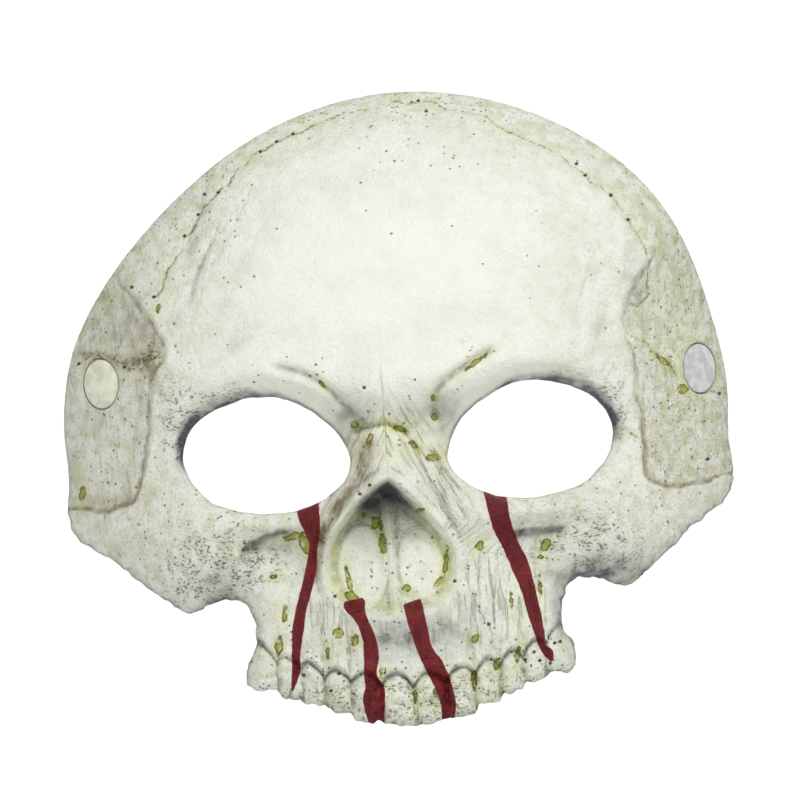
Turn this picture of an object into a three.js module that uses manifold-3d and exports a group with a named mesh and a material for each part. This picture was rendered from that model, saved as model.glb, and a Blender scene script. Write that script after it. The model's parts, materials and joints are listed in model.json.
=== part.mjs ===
// A latex half mask in the shape of a skull without its lower jaw, worn with an elastic strap.
// Millimetres, +Z to the crown, the face looks along -Y, and +X is the wearer's left.
// The origin is where the shell's inner face sits on the bridge of the nose, midway between the eye holes.
import * as THREE from "three";
import { mergeVertices } from "three/addons/utils/BufferGeometryUtils.js";
import Module from "manifold-3d";

const wasm = await Module();
wasm.setup();

// ------------------------------------------------ driving dimensions
const HALF_WIDTH = 101; // from the midline to either side of the shell
const CROWN_Z = 107.5; // top of the forehead
const TEETH_Z = -83.5; // lowest tooth
const EYE = { x: 40, halfWidth: 25, halfHeight: 17.3 };
const SHELL_THICKNESS = 2.6;
const STEEPEST = 2.1; // how many times thicker than this the steepest walls are, measured front to back
const GRID = 5; // spacing of the shell's modelled surface
const FACETS = 26; // sides of everything turned

const DOME = { halfWidth: 115, halfHeight: 96, depth: 95, baseZ: 25 };
const CROWN_LEAN = { shift: 7, fromZ: 28, toZ: 88 }; // the hand-made casting leans to one side
const NOSE_X = -3.5; // and its nose stands off the midline

const RIVET = {
  capRadius: 7.4,
  capRim: 1.1,
  capDome: 0.7,
  postRadius: 2.2,
  washerRadius: 7,
  washerThickness: 1.8,
};
const RIVET_AT = { right: { x: -88.6, z: 24.8 }, left: { x: 92.8, z: 18 } };
const CLEAR = 0.35; // gap between touching pieces
const PATCH = { radius: 11.5, thickness: 0.5 };
const STRAP = { width: 15, thickness: 1.2, exitX: 95, axisY: 61, reach: 66, squareness: 2.3, restTilt: 18 };
const KNUCKLE_RADIUS = 12; // the strap's free loop starts this far from the line that it swings about

// ------------------------------------------------ small maths
const clamp = (v, low, high) => Math.min(high, Math.max(low, v));

function smooth(from, to, v) {
  const t = clamp((v - from) / (to - from), 0, 1);
  return t * t * (3 - 2 * t);
}

// A rounded bump of height 1 at (cx, cz), turned by a few degrees.
function bump(x, z, cx, cz, alongX, alongZ, degrees = 0) {
  const a = (degrees * Math.PI) / 180;
  const u = ((x - cx) * Math.cos(a) + (z - cz) * Math.sin(a)) / alongX;
  const v = ((z - cz) * Math.cos(a) - (x - cx) * Math.sin(a)) / alongZ;
  return Math.exp(-0.5 * (u * u + v * v));
}

function distanceToSegment(x, z, a, b) {
  const dx = b.x - a.x;
  const dz = b.y - a.y;
  const t = clamp(((x - a.x) * dx + (z - a.y) * dz) / (dx * dx + dz * dz), 0, 1);
  return Math.hypot(x - a.x - t * dx, z - a.y - t * dz);
}

// The larger of two distances, with the corner between them rounded.
function roundedMax(a, b, radius) {
  const h = Math.max(radius - Math.abs(a - b), 0) / radius;
  return Math.max(a, b) + (h * h * radius) / 4;
}

// ------------------------------------------------ outline of the shell, seen from the front
const crownShift = (z) => CROWN_LEAN.shift * smooth(CROWN_LEAN.fromZ, CROWN_LEAN.toZ, z);

// The lower half of the outline on one side: temple, cheekbone, notch, molars and teeth.
const WIDEST_Z = 9;
const LOWER_EDGE = [
  [HALF_WIDTH, WIDEST_Z], [100.4, -4], [101.3, -14], [99.5, -21], [92, -27], [84, -33], [76, -39],
  [69, -44.5], [65.5, -46], [60, -44], [53, -42.8], [48.3, -45], [46.2, -51], [46.6, -58], [49.8, -64],
  [49.2, -68.5], [43, -71.5], [34, -74], [25, -77.5], [17, -80.8], [8, TEETH_Z + 0.5], [0, TEETH_Z],
];

// The crown is an ellipse, a little pointed.
function crownArc() {
  const steps = 20;
  const power = 2 / 1.93;
  const arc = [];
  for (let i = 0; i < steps; i++) {
    const a = (Math.PI / 2) * (1 - i / steps);
    const up = (CROWN_Z - WIDEST_Z) * Math.sin(a) ** power;
    arc.push(new THREE.Vector2(HALF_WIDTH * Math.cos(a) ** power, WIDEST_Z + up));
  }
  return arc;
}

function outlinePoints() {
  const lower = new THREE.SplineCurve(LOWER_EDGE.map(([x, z]) => new THREE.Vector2(x, z))).getPoints(48);
  const half = [...crownArc(), ...lower];
  const mirrored = half.slice(1, -1).reverse().map((p) => new THREE.Vector2(-p.x, p.y));
  return [...half, ...mirrored].map((p) => new THREE.Vector2(p.x + crownShift(p.y), p.y));
}

const OUTLINE = outlinePoints();

const edgeDistance = (x, z) =>
  Math.min(...OUTLINE.map((p, i) => distanceToSegment(x, z, p, OUTLINE[(i + 1) % OUTLINE.length])));

// ------------------------------------------------ relief of the skull, as depths back from the front
function dome(x, z) {
  const across = (x - crownShift(z)) / DOME.halfWidth;
  const up = Math.max(z - DOME.baseZ, 0) / DOME.halfHeight;
  return DOME.depth * (1 - Math.sqrt(1 - Math.min(across * across + up * up, 0.9)));
}

// Distance outside an eye hole, roughly in millimetres, and negative inside it.
function eyeDistance(x, z, side) {
  const u = (x - side * EYE.x) / EYE.halfWidth;
  const v = z / EYE.halfHeight;
  const r = Math.hypot(u, v);
  return (r - 1) * (r > 0 ? Math.hypot(u * EYE.halfWidth, v * EYE.halfHeight) / r : 1);
}

// The skin rolls in round each eye hole, most under the brow.
function orbits(x, z) {
  let depth = 0;
  for (const side of [-1, 1]) {
    const d = Math.max(eyeDistance(x, z, side), 0);
    const overhang = smooth(-12, 14, z);
    const outward = smooth(8, 30, side * x - EYE.x + 20);
    const reach = 5 + 4 * overhang + outward;
    depth += (3.4 + 4.4 * overhang) * Math.exp(-((d / reach) ** 2) * 2.2);
  }
  return depth;
}

function brows(x, z) {
  let forward = 3 * bump(x, z, 0, 22, 14, 9);
  for (const side of [-1, 1]) {
    forward += 5 * bump(x, z, side * 31, 24, 19, 7, side * 10);
    forward += 3.5 * bump(x, z, side * 66, 14, 7, 14);
  }
  return forward;
}

// Distance outside the nasal opening: an oval under a roof.
function noseDistance(x, z) {
  const dx = x - NOSE_X;
  const oval = (Math.hypot(dx / 18.4, (z + 31) / 19) - 1) * 18;
  const roof = (Math.abs(dx) * 1.05 + z + 9.5) / 1.45;
  return roundedMax(oval, roof, 4);
}

function nose(x, z) {
  const dx = x - NOSE_X;
  const along = clamp((6 - z) / 16, 0, 1);
  const bridgeEnds = smooth(-28, -11, z) * smooth(16, 6, z);
  const bridge = (1 + 9 * along) * Math.exp(-0.5 * (dx / (5.5 + 5.5 * along)) ** 2) * bridgeEnds;
  const inside = smooth(0.8, -3.2, noseDistance(x, z));
  const cavity = inside * (6.5 + 3.5 * smooth(-26, -14, z));
  const membranes = 3 * bump(x, z, -11, -34.5, 5, 8) + 3 * bump(x, z, 5.5, -35, 5.5, 8.5);
  const septum = 3.6 * Math.exp(-0.5 * ((x + 2) / 1.8) ** 2) * smooth(-13, -19, z) * smooth(-52, -44, z);
  const rim = 1.4 * Math.exp(-0.5 * ((noseDistance(x, z) - 1.6) / 1.8) ** 2) * smooth(-14, -28, z);
  const root = 4.5 * bump(x, z, 0, 6, 13, 5);
  return cavity + root - bridge * (1 - 0.85 * inside) - inside * (membranes + septum) - rim;
}

function cheeks(x, z) {
  let forward = 0;
  for (const side of [-1, 1]) {
    forward += 5.5 * bump(x, z, side * 65, -25, 15, 11, -side * 12);
    forward += 2 * bump(x, z, side * 40, -20.5, 16, 3);
    forward -= 4.6 * bump(x, z, side * 38.5, -29, 9, 5);
    forward -= 3.4 * bump(x, z, side * 30, -43, 7, 11);
    forward -= 2.6 * bump(x, z, side * 15 - 2, -5, 4, 9);
  }
  return forward;
}

// The tooth-bearing bone stands forward of the dome and falls away beside the molars.
function upperJaw(x, z) {
  const arch = 10 * Math.exp(-0.5 * ((x + 1) / 27) ** 2) * smooth(-32, -56, z);
  const teeth = 1.4 * smooth(gumLine(x) + 0.6, gumLine(x) - 1.6, z) * smooth(-54, -60, z);
  return arch + teeth;
}

const gumLine = (x) => -69.5 + 0.0064 * x * x;

// Behind this line the temple lies lower than the forehead and the cheekbone.
const TEMPLE_LINE = [
  [79, 62], [75, 48], [69.5, 37], [70.5, 27], [73.5, 14], [74.5, 0], [76, -9], [81, -13.5], [104, -14],
];

function temples(x, z) {
  if (z > 66 || z < -17) return 0;
  const ax = Math.abs(x);
  let edge = 104;
  for (let i = 0; i + 1 < TEMPLE_LINE.length; i++) {
    const [x0, z0] = TEMPLE_LINE[i];
    const [x1, z1] = TEMPLE_LINE[i + 1];
    if (z <= z0 && z >= z1) edge = x0 + ((x1 - x0) * (z0 - z)) / (z0 - z1);
  }
  return 2.6 * smooth(-1.5, 2.5, ax - edge) * smooth(66, 50, z) * smooth(-15, -12, z);
}

function edgeRoll(x, z) {
  const low = smooth(-8, -24, z);
  const d = edgeDistance(x, z);
  const teeth = smooth(-60, -68, z);
  return (1.2 + 6.2 * low * (1 - 0.7 * teeth)) * Math.exp(-d / (2.2 + 1.6 * low));
}

function relief(x, z) {
  const back = dome(x, z) + orbits(x, z) + nose(x, z) + temples(x, z) + edgeRoll(x, z);
  return back - brows(x, z) - cheeks(x, z) - upperJaw(x, z);
}

// Depth of the shell's outer face at a point of the front view, in the part's own frame.
const SEAT_RELIEF = relief(0, 0) + SHELL_THICKNESS;
const faceY = (x, z) => relief(x, z) - SEAT_RELIEF;

function slope(x, z) {
  const h = 0.8;
  return [(faceY(x + h, z) - faceY(x - h, z)) / (2 * h), (faceY(x, z + h) - faceY(x, z - h)) / (2 * h)];
}

// ------------------------------------------------ solids
function toManifold(geometry) {
  const bare = geometry.clone();
  bare.deleteAttribute("normal");
  bare.deleteAttribute("uv");
  const merged = mergeVertices(bare, 1e-4);
  return new wasm.Manifold(
    new wasm.Mesh({
      numProp: 3,
      vertProperties: merged.attributes.position.array,
      triVerts: new Uint32Array(merged.index.array),
    }),
  );
}

function toGeometry(solid) {
  const mesh = solid.getMesh();
  const geometry = new THREE.BufferGeometry();
  geometry.setAttribute("position", new THREE.BufferAttribute(new Float32Array(mesh.vertProperties), 3));
  geometry.setIndex(new THREE.BufferAttribute(new Uint32Array(mesh.triVerts), 1));
  const flat = geometry.toNonIndexed();
  flat.computeVertexNormals();
  return flat;
}

// A slab between the outer face and an inner face, on a rectangular grid wider than the mask.
function reliefSlab() {
  const columns = Math.ceil((2 * HALF_WIDTH + 12) / GRID);
  const rows = Math.ceil((CROWN_Z - TEETH_Z + 8) / GRID);
  const positions = [];
  for (const inner of [false, true])
    for (let j = 0; j <= rows; j++)
      for (let i = 0; i <= columns; i++) {
        const x = (i - columns / 2) * GRID;
        const z = TEETH_Z - 4 + j * GRID;
        const [sx, sz] = slope(x, z);
        const through = SHELL_THICKNESS * Math.min(Math.hypot(1, sx, sz), STEEPEST);
        positions.push(x, faceY(x, z) + (inner ? through : 0), z);
      }
  const at = (i, j, inner) => (inner ? (columns + 1) * (rows + 1) : 0) + j * (columns + 1) + i;
  const index = [];
  const quad = (a, b, c, d) => index.push(a, b, c, a, c, d);
  for (let j = 0; j < rows; j++)
    for (let i = 0; i < columns; i++) {
      quad(at(i, j, 0), at(i + 1, j, 0), at(i + 1, j + 1, 0), at(i, j + 1, 0));
      quad(at(i, j, 1), at(i, j + 1, 1), at(i + 1, j + 1, 1), at(i + 1, j, 1));
    }
  for (let i = 0; i < columns; i++) {
    quad(at(i, 0, 0), at(i, 0, 1), at(i + 1, 0, 1), at(i + 1, 0, 0));
    quad(at(i, rows, 0), at(i + 1, rows, 0), at(i + 1, rows, 1), at(i, rows, 1));
  }
  for (let j = 0; j < rows; j++) {
    quad(at(0, j, 0), at(0, j + 1, 0), at(0, j + 1, 1), at(0, j, 1));
    quad(at(columns, j, 0), at(columns, j, 1), at(columns, j + 1, 1), at(columns, j + 1, 0));
  }
  const geometry = new THREE.BufferGeometry();
  geometry.setAttribute("position", new THREE.Float32BufferAttribute(positions, 3));
  geometry.setIndex(index);
  return geometry;
}

// The outline with its two eye holes, extruded through the whole depth of the slab.
function cutter() {
  const shape = new THREE.Shape(OUTLINE.slice().reverse());
  for (const side of [-1, 1]) {
    const hole = new THREE.Path();
    hole.absellipse(side * EYE.x, 0, EYE.halfWidth, EYE.halfHeight, 0, 2 * Math.PI, true);
    shape.holes.push(hole);
  }
  const depth = 160;
  const prism = new THREE.ExtrudeGeometry(shape, { depth, bevelEnabled: false, curveSegments: 40 });
  return prism.rotateX(Math.PI / 2).translate(0, depth / 2, 0);
}

// Where a rivet sits on the shell, with its own Z along the outward normal and its X towards the rear edge.
function rivetFrame(side) {
  const { x, z } = RIVET_AT[side];
  const [sx] = slope(x, z);
  const normal = new THREE.Vector3(sx, -1, 0).normalize();
  const rearward = new THREE.Vector3(-normal.y * Math.sign(x), Math.abs(normal.x), 0).normalize();
  const frame = new THREE.Matrix4().makeBasis(rearward, normal.clone().cross(rearward), normal);
  return frame.setPosition(x, faceY(x, z), z);
}

const FRAMES = { right: rivetFrame("right"), left: rivetFrame("left") };

// A ring or disc lying on local Z, from a profile of [radius, height] pairs that closes on itself.
const turned = (profile) =>
  new THREE.LatheGeometry(profile.map(([r, h]) => new THREE.Vector2(r, h)), FACETS).rotateX(Math.PI / 2);

// Heights of the layers under a rivet's cap, measured along the outward normal.
const LAYERS = (() => {
  const capFloor = -RIVET.capRim;
  const patchTop = -SHELL_THICKNESS - CLEAR;
  const strapTop = patchTop - PATCH.thickness - CLEAR;
  const strapFoot = strapTop - 2 * STRAP.thickness;
  const washerTop = strapFoot - CLEAR;
  const washerFoot = washerTop - RIVET.washerThickness;
  return { capFloor, patchTop, strapTop, strapFoot, washerTop, washerFoot };
})();

const postHole = RIVET.postRadius + CLEAR;

function drill(radius, from, to) {
  const cylinder = new THREE.CylinderGeometry(radius, radius, to - from, FACETS);
  return cylinder.rotateX(Math.PI / 2).translate(0, 0, (from + to) / 2);
}

function shellSolid() {
  let shell = toManifold(reliefSlab()).intersect(toManifold(cutter()));
  for (const frame of Object.values(FRAMES)) {
    const channel = new THREE.BoxGeometry(30, STRAP.width + 2, 12);
    channel.translate(15, 0, LAYERS.patchTop + CLEAR - 6);
    const tools = [
      drill(RIVET.capRadius + CLEAR, LAYERS.capFloor - CLEAR, 6),
      drill(postHole, -12, 6),
      drill(PATCH.radius + 0.8, LAYERS.patchTop - 12, LAYERS.patchTop + CLEAR),
      channel,
    ];
    for (const tool of tools) shell = shell.subtract(toManifold(tool.applyMatrix4(frame)));
  }
  const pieces = shell.decompose();
  return pieces.reduce((best, piece) => (piece.volume() > best.volume() ? piece : best));
}

// Cap and post are one plastic moulding.
function rivetCap() {
  const { capRadius: rim, capDome: crown, postRadius: post } = RIVET;
  const { capFloor, washerFoot: tip } = LAYERS;
  const underside = [[0, tip], [post - 0.4, tip], [post, tip + 0.3], [post, capFloor], [rim, capFloor]];
  const top = [[rim, -0.35], [rim - 0.4, 0.1], [5.6, crown - 0.35], [3, crown - 0.1], [0, crown]];
  return turned([...underside, ...top]);
}

// The washer grips the post with a raised collar.
function rivetWasher() {
  const { washerTop: top, washerFoot: foot } = LAYERS;
  const rim = RIVET.washerRadius;
  const collar = [[postHole, top], [postHole, foot], [4.4, foot], [4.8, foot + 0.5]];
  const flange = [[rim - 0.6, foot + 0.5], [rim, foot + 0.9], [rim, top], [postHole, top]];
  return turned([...collar, ...flange]);
}

function backingPatch() {
  const { patchTop: top } = LAYERS;
  const foot = top - PATCH.thickness;
  const rim = PATCH.radius;
  return turned([[postHole, top], [postHole, foot], [rim, foot], [rim, top], [postHole, top]]);
}

// ------------------------------------------------ strap
// The strap is laid out flat in a frame of its own, whose X runs from rivet to rivet and is its hinge line.
const STRAP_FRAME = (() => {
  const { right, left } = RIVET_AT;
  const lean = Math.atan2(right.z - left.z, left.x - right.x);
  const frame = new THREE.Matrix4().makeRotationY(lean);
  return frame.setPosition((left.x + right.x) / 2, STRAP.axisY, (left.z + right.z) / 2);
})();
const INTO_STRAP_FRAME = STRAP_FRAME.clone().invert();

// A band with the given centre line, as thick as asked, standing on edge.
function band(centreLine, thickness, width) {
  const sides = [[], []];
  centreLine.forEach((p, i) => {
    const before = centreLine[Math.max(i - 1, 0)];
    const after = centreLine[Math.min(i + 1, centreLine.length - 1)];
    const across = new THREE.Vector2(before.y - after.y, after.x - before.x).setLength(thickness / 2);
    sides[0].push(p.clone().add(across));
    sides[1].unshift(p.clone().sub(across));
  });
  const shape = new THREE.Shape([...sides[0], ...sides[1]]);
  const solid = new THREE.ExtrudeGeometry(shape, { depth: width, bevelEnabled: false });
  return solid.translate(0, 0, -width / 2);
}

const swingCylinder = (radius) => new THREE.CylinderGeometry(radius, radius, 260, 64).rotateZ(Math.PI / 2);

// The doubled end of the strap: flat under the rivet's washer, then turning to point straight back.
function strapEndLine(side) {
  const toPlan = (x, height) => {
    const p = new THREE.Vector3(x, 0, height).applyMatrix4(FRAMES[side]).applyMatrix4(INTO_STRAP_FRAME);
    return new THREE.Vector2(p.x, p.y);
  };
  const middle = (LAYERS.strapTop + LAYERS.strapFoot) / 2;
  const start = toPlan(-8.5, middle);
  const leave = toPlan(7.6, middle);
  const rearEdge = toPlan(12.5, middle);
  const exit = new THREE.Vector2(Math.sign(leave.x) * STRAP.exitX, 0);
  const bend = new THREE.CubicBezierCurve(leave, rearEdge, new THREE.Vector2(exit.x, -5), exit);
  const tip = new THREE.Vector2(exit.x, KNUCKLE_RADIUS + 4);
  return [start, ...bend.getPoints(9), tip];
}

function strapEnd(side) {
  const line = strapEndLine(side);
  if (side === "left") line.reverse();
  let end = toManifold(band(line, 2 * STRAP.thickness, STRAP.width).applyMatrix4(STRAP_FRAME));
  const keep = new THREE.BoxGeometry(300, 60, 60).translate(0, -30, 0);
  const reach = toManifold(keep.applyMatrix4(STRAP_FRAME)).add(
    toManifold(swingCylinder(KNUCKLE_RADIUS - CLEAR).applyMatrix4(STRAP_FRAME)),
  );
  end = end.intersect(reach);
  return end.subtract(toManifold(drill(postHole, -12, 6).applyMatrix4(FRAMES[side])));
}

function strapLoop() {
  const line = [];
  const steps = 45;
  for (let i = 0; i <= steps; i++) {
    const a = (Math.PI * i) / steps;
    const power = 2 / STRAP.squareness;
    const x = Math.sign(Math.cos(a)) * STRAP.exitX * Math.abs(Math.cos(a)) ** power;
    line.push(new THREE.Vector2(x, STRAP.reach * Math.sin(a) ** power));
  }
  const tilt = new THREE.Matrix4().makeRotationX((STRAP.restTilt * Math.PI) / 180);
  const laid = toManifold(band(line, STRAP.thickness, STRAP.width).applyMatrix4(tilt));
  const loop = laid.subtract(toManifold(swingCylinder(KNUCKLE_RADIUS)));
  return loop.transform(STRAP_FRAME.elements);
}

// ------------------------------------------------ materials and assembly
const look = (color, roughness) => new THREE.MeshStandardMaterial({ color, roughness, metalness: 0 });
const LATEX = look(0xe8eade, 0.62);
const CAP_PLASTIC = look(0xdcdfd2, 0.45);
const WASHER_PLASTIC = look(0xe6e8ea, 0.35);
const GAUZE = look(0xd9d6c8, 0.9);
const ELASTIC = look(0xf1f0ea, 0.85);

const mask = new THREE.Group();

function add(name, geometry, material, frame) {
  const mesh = new THREE.Mesh(geometry, material);
  mesh.name = name;
  if (frame) mesh.applyMatrix4(frame);
  mask.add(mesh);
}

add("latex_shell", toGeometry(shellSolid()), LATEX);
add("elastic_strap", toGeometry(strapLoop()), ELASTIC);
for (const side of ["right", "left"]) {
  add("rivet_cap_" + side, rivetCap(), CAP_PLASTIC, FRAMES[side]);
  add("rivet_washer_" + side, rivetWasher(), WASHER_PLASTIC, FRAMES[side]);
  add("backing_patch_" + side, backingPatch(), GAUZE, FRAMES[side]);
  add("strap_end_" + side, toGeometry(strapEnd(side)), ELASTIC);
}

export default mask;
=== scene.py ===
"""A latex half mask shaped as a skull without its lower jaw, painted as old bone with streaks of blood.

The latex skin is worked out here as relief over the mask's front view, in millimetres: x to the wearer's
left, z up, and y back from the face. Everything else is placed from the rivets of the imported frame.
"""

import json
import math

import bpy
import numpy as np
from mathutils import Matrix, Vector


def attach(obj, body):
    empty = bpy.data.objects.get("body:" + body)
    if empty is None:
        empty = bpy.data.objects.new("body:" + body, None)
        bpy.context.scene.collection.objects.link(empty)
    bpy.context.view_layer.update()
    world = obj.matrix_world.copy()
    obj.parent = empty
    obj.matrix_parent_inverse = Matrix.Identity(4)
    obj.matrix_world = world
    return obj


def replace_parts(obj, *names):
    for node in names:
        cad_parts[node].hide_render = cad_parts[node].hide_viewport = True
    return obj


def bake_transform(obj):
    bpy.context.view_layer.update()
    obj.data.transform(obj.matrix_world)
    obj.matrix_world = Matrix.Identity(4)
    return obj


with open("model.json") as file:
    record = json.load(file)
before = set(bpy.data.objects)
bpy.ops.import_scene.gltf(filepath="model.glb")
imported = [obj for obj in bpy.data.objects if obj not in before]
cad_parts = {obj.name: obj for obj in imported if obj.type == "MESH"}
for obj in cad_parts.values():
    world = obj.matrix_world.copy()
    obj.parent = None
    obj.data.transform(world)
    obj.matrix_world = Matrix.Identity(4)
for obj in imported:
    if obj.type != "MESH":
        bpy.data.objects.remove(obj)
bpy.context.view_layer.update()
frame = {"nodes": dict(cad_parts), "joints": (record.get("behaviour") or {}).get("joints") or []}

MM = 0.001

# ================================================ small maths


def smooth(low, high, value):
    t = np.clip((value - low) / (high - low), 0, 1)
    return t * t * (3 - 2 * t)


def along_and_across(x, z, degrees):
    """Places along and across a line at this angle from the horizontal."""
    a = np.radians(degrees)
    return x * np.cos(a) + z * np.sin(a), z * np.cos(a) - x * np.sin(a)


def bump(x, z, at, size, degrees=0):
    """A soft mound of height 1, its size given along and across a line turned by some degrees."""
    u, v = along_and_across(x - at[0], z - at[1], degrees)
    return np.exp(-0.5 * ((u / size[0]) ** 2 + (v / size[1]) ** 2))


def mounds(x, z, shapes):
    """The sum of some mounds, each given by its height, place, size and degrees."""
    return sum(height * bump(x, z, at, size, degrees) for height, at, size, degrees in shapes)


def both_sides(x, z, shapes):
    """The sum of some mounds and of their mirror images."""
    mirrored = [(height, (-at[0], at[1]), size, -degrees) for height, at, size, degrees in shapes]
    return mounds(x, z, shapes + mirrored)


def groove(distance, width):
    return np.exp(-((distance / width) ** 2))


def curve(points, closed=False, per_span=8):
    """A smooth line through the points (Catmull-Rom)."""
    p = np.array(points, float)
    if closed:
        p = np.vstack([p[-1], p, p[0], p[1]])
    else:
        p = np.vstack([2 * p[0] - p[1], p, 2 * p[-1] - p[-2]])
    t = np.linspace(0, 1, per_span, endpoint=False)[:, None]
    spans = []
    for a, b, c, d in zip(p, p[1:], p[2:], p[3:]):
        cubic = -a + 3 * b - 3 * c + d
        square = 2 * a - 5 * b + 4 * c - d
        spans.append(0.5 * (2 * b + (c - a) * t + square * t**2 + cubic * t**3))
    line = np.vstack(spans)
    return line if closed else np.vstack([line, p[-2]])


def squared_oval(width, height, squareness, angles):
    """Points of an oval that is squarer than an ellipse, at these angles up from the horizontal."""
    power = 2 / squareness
    return np.column_stack([width * np.cos(angles) ** power, height * np.sin(angles) ** power])


def around(ring):
    """Each item of a ring with the next one."""
    return zip(ring, ring[1:] + ring[:1])


def lengths_along(line):
    return np.concatenate([[0], np.cumsum(np.hypot(*np.diff(line, axis=0).T))])


def respaced(line, spacing):
    """The same line with its points evenly spaced."""
    travelled = lengths_along(line)
    places = np.linspace(0, travelled[-1], int(travelled[-1] / spacing) + 1)
    return np.column_stack([np.interp(places, travelled, axis) for axis in line.T])


def line_distance(x, z, line, closed=False):
    """Distance to a line, and how far along it the nearest point is, from 0 to 1."""
    ends = np.roll(line, -1, axis=0) if closed else line[1:]
    starts = line if closed else line[:-1]
    lengths = np.hypot(*(ends - starts).T)
    before = np.concatenate([[0], np.cumsum(lengths)])
    best = np.full(np.shape(x), np.inf)
    along = np.zeros(np.shape(x))
    for (ax, az), (bx, bz), length, start in zip(starts, ends, lengths, before):
        t = np.clip(((x - ax) * (bx - ax) + (z - az) * (bz - az)) / max(length, 1e-9) ** 2, 0, 1)
        squared = (x - ax - t * (bx - ax)) ** 2 + (z - az - t * (bz - az)) ** 2
        nearer = squared < best
        best = np.where(nearer, squared, best)
        along = np.where(nearer, (start + t * length) / before[-1], along)
    return np.sqrt(best), along


def signed_distance(x, z, line):
    """Distance to a closed line, negative inside it."""
    inside = np.zeros(np.shape(x), bool)
    for (ax, az), (bx, bz) in zip(line, np.roll(line, -1, axis=0)):
        if az != bz:
            crosses = (az > z) != (bz > z)
            inside ^= crosses & (x < (bx - ax) * (z - az) / (bz - az) + ax)
    distance, _ = line_distance(x, z, line, closed=True)
    return np.where(inside, -distance, distance)


ANGLES = np.random.default_rng(11).uniform(0, 2 * np.pi, 4096)


def gradient_noise(u, v, seed):
    column = np.floor(u).astype(int)
    row = np.floor(v).astype(int)

    def corner(right, up):
        angle = ANGLES[((column + right) * 73 + (row + up) * 179 + seed * 997) % len(ANGLES)]
        return np.cos(angle) * (u - column - right) + np.sin(angle) * (v - row - up)

    across = smooth(0, 1, u - column)
    low = corner(0, 0) + across * (corner(1, 0) - corner(0, 0))
    high = corner(0, 1) + across * (corner(1, 1) - corner(0, 1))
    return 1.5 * (low + smooth(0, 1, v - row) * (high - low))


def grain(x, z, size, seed, octaves=3):
    """Soft noise, mostly within -1 to 1, with lumps of the given size."""
    return sum(gradient_noise(x / size * 2**i, z / size * 2**i, seed + i) / 2**i for i in range(octaves))


# ================================================ outlines of the front view, in millimetres
CROWN_LEAN = 7
LOWER_EDGE = [
    (101, 9), (100.4, -4), (101.3, -13), (99.6, -20.5), (95, -24.5), (88, -29), (80, -36), (72, -42.5),
    (66, -46), (60, -44), (54, -42.3), (48.6, -44.5), (46.3, -50), (46.4, -57), (49.4, -62.5),
]
TOOTH_EDGES = [0, 9.6, 18.6, 26.2, 33.4, 40.4, 49.9]
TOOTH_TIPS = [-83.4, -81.6, -78.2, -75.6, -73.2, -70.4]
OUTLINE_SPACING = 0.8
HALF_WIDTH = 101
CROWN_Z = 107.5
CROWN_SQUARENESS = 1.93
WIDEST_Z = 9
NOSE_X = -3.5


def crown_shift(z):
    return CROWN_LEAN * smooth(28, 88, z)


def lean(line):
    return np.column_stack([line[:, 0] + crown_shift(line[:, 1]), line[:, 1]])


def crown_arc():
    angles = np.linspace(np.pi / 2, 0, 90, endpoint=False)
    return squared_oval(HALF_WIDTH, CROWN_Z - WIDEST_Z, CROWN_SQUARENESS, angles) + (0, WIDEST_Z)


def worn_edge(line, amount, size, seed):
    """The line with its points moved a little in and out, as a torn or hand-cut edge."""
    along = np.roll(line, -1, axis=0) - np.roll(line, 1, axis=0)
    across = np.column_stack([along[:, 1], -along[:, 0]]) / (np.hypot(*along.T)[:, None] + 1e-9)
    shift = amount * grain(line[:, 0], line[:, 1], size, seed)
    return line + across * shift[:, None]


def tooth_bottoms():
    """The biting edge, from the last molar to the midline: a worn scallop under every tooth."""
    points = []
    teeth = list(zip(TOOTH_EDGES, TOOTH_EDGES[1:], TOOTH_TIPS))
    for inner, outer, tip in reversed(teeth):
        for t in (0.97, 0.85, 0.6, 0.35, 0.12):
            drop = 1.2 * abs(2 * t - 1) ** 3
            points.append((inner + t * (outer - inner), tip + drop + (outer - inner) * 0.12 * (t - 0.5)))
    return np.array(points)


def shell_outline():
    lower = curve(LOWER_EDGE)
    left = np.vstack([crown_arc(), lower[:-1], tooth_bottoms()])
    right = left[1:][::-1] * (-1, 1)
    line = lean(np.vstack([left, right]))
    line = respaced(np.vstack([line, line[:1]]), OUTLINE_SPACING)[:-1]
    height = line[:, 1]
    return worn_edge(line, 0.12 + 0.5 * smooth(0, -20, height) + 0.2 * smooth(-60, -70, height), 2.4, 3)


def eye_outline(side):
    """An eye hole: wide, and narrower towards the nose."""
    points = [(65, 1), (62, 9), (55.5, 14), (46, 17.2), (36, 17.4), (26.5, 13.2), (19, 6.8), (14.8, -2)]
    points += [(16.5, -8.5), (24.2, -14.6), (35.5, -17.5), (47, -16.6), (56.4, -13.2), (62.8, -6.4)]
    return worn_edge(curve(points, closed=True) * (side, 1), 0.3, 6, 8 + side)


# ================================================ relief, as depths back from the dome's front
DOME_HALF_WIDTH, DOME_HEIGHT, DOME_DEPTH = 115, 96, 95
# The dome curves back only above this height.
DOME_FROM = 25


def dome(x, z):
    across = (x - crown_shift(z)) / DOME_HALF_WIDTH
    up = np.maximum(z - DOME_FROM, 0) / DOME_HEIGHT
    return DOME_DEPTH * (1 - np.sqrt(1 - np.minimum(across**2 + up**2, 0.9)))


def orbits(x, z, eyes):
    """The skin turns in at the eye holes, most under the brow."""
    d = np.maximum(eyes, 0)
    overhang = smooth(-10, 12, z)
    lip = (2.2 + 2.6 * overhang) * np.exp(-d / (1.4 + 0.2 * overhang))
    return lip + (1 + overhang) * groove(d, 5)


FROWNS = [
    [(-39, 27), (-34.7, 26.6), (-27, 24), (-20.7, 19.5), (-15, 13.6), (-10.8, 9)],
    [(33, 29.5), (28.8, 26.9), (21, 22.8), (13.7, 17.3), (12, 13), (11.7, 9.6)],
]


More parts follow.
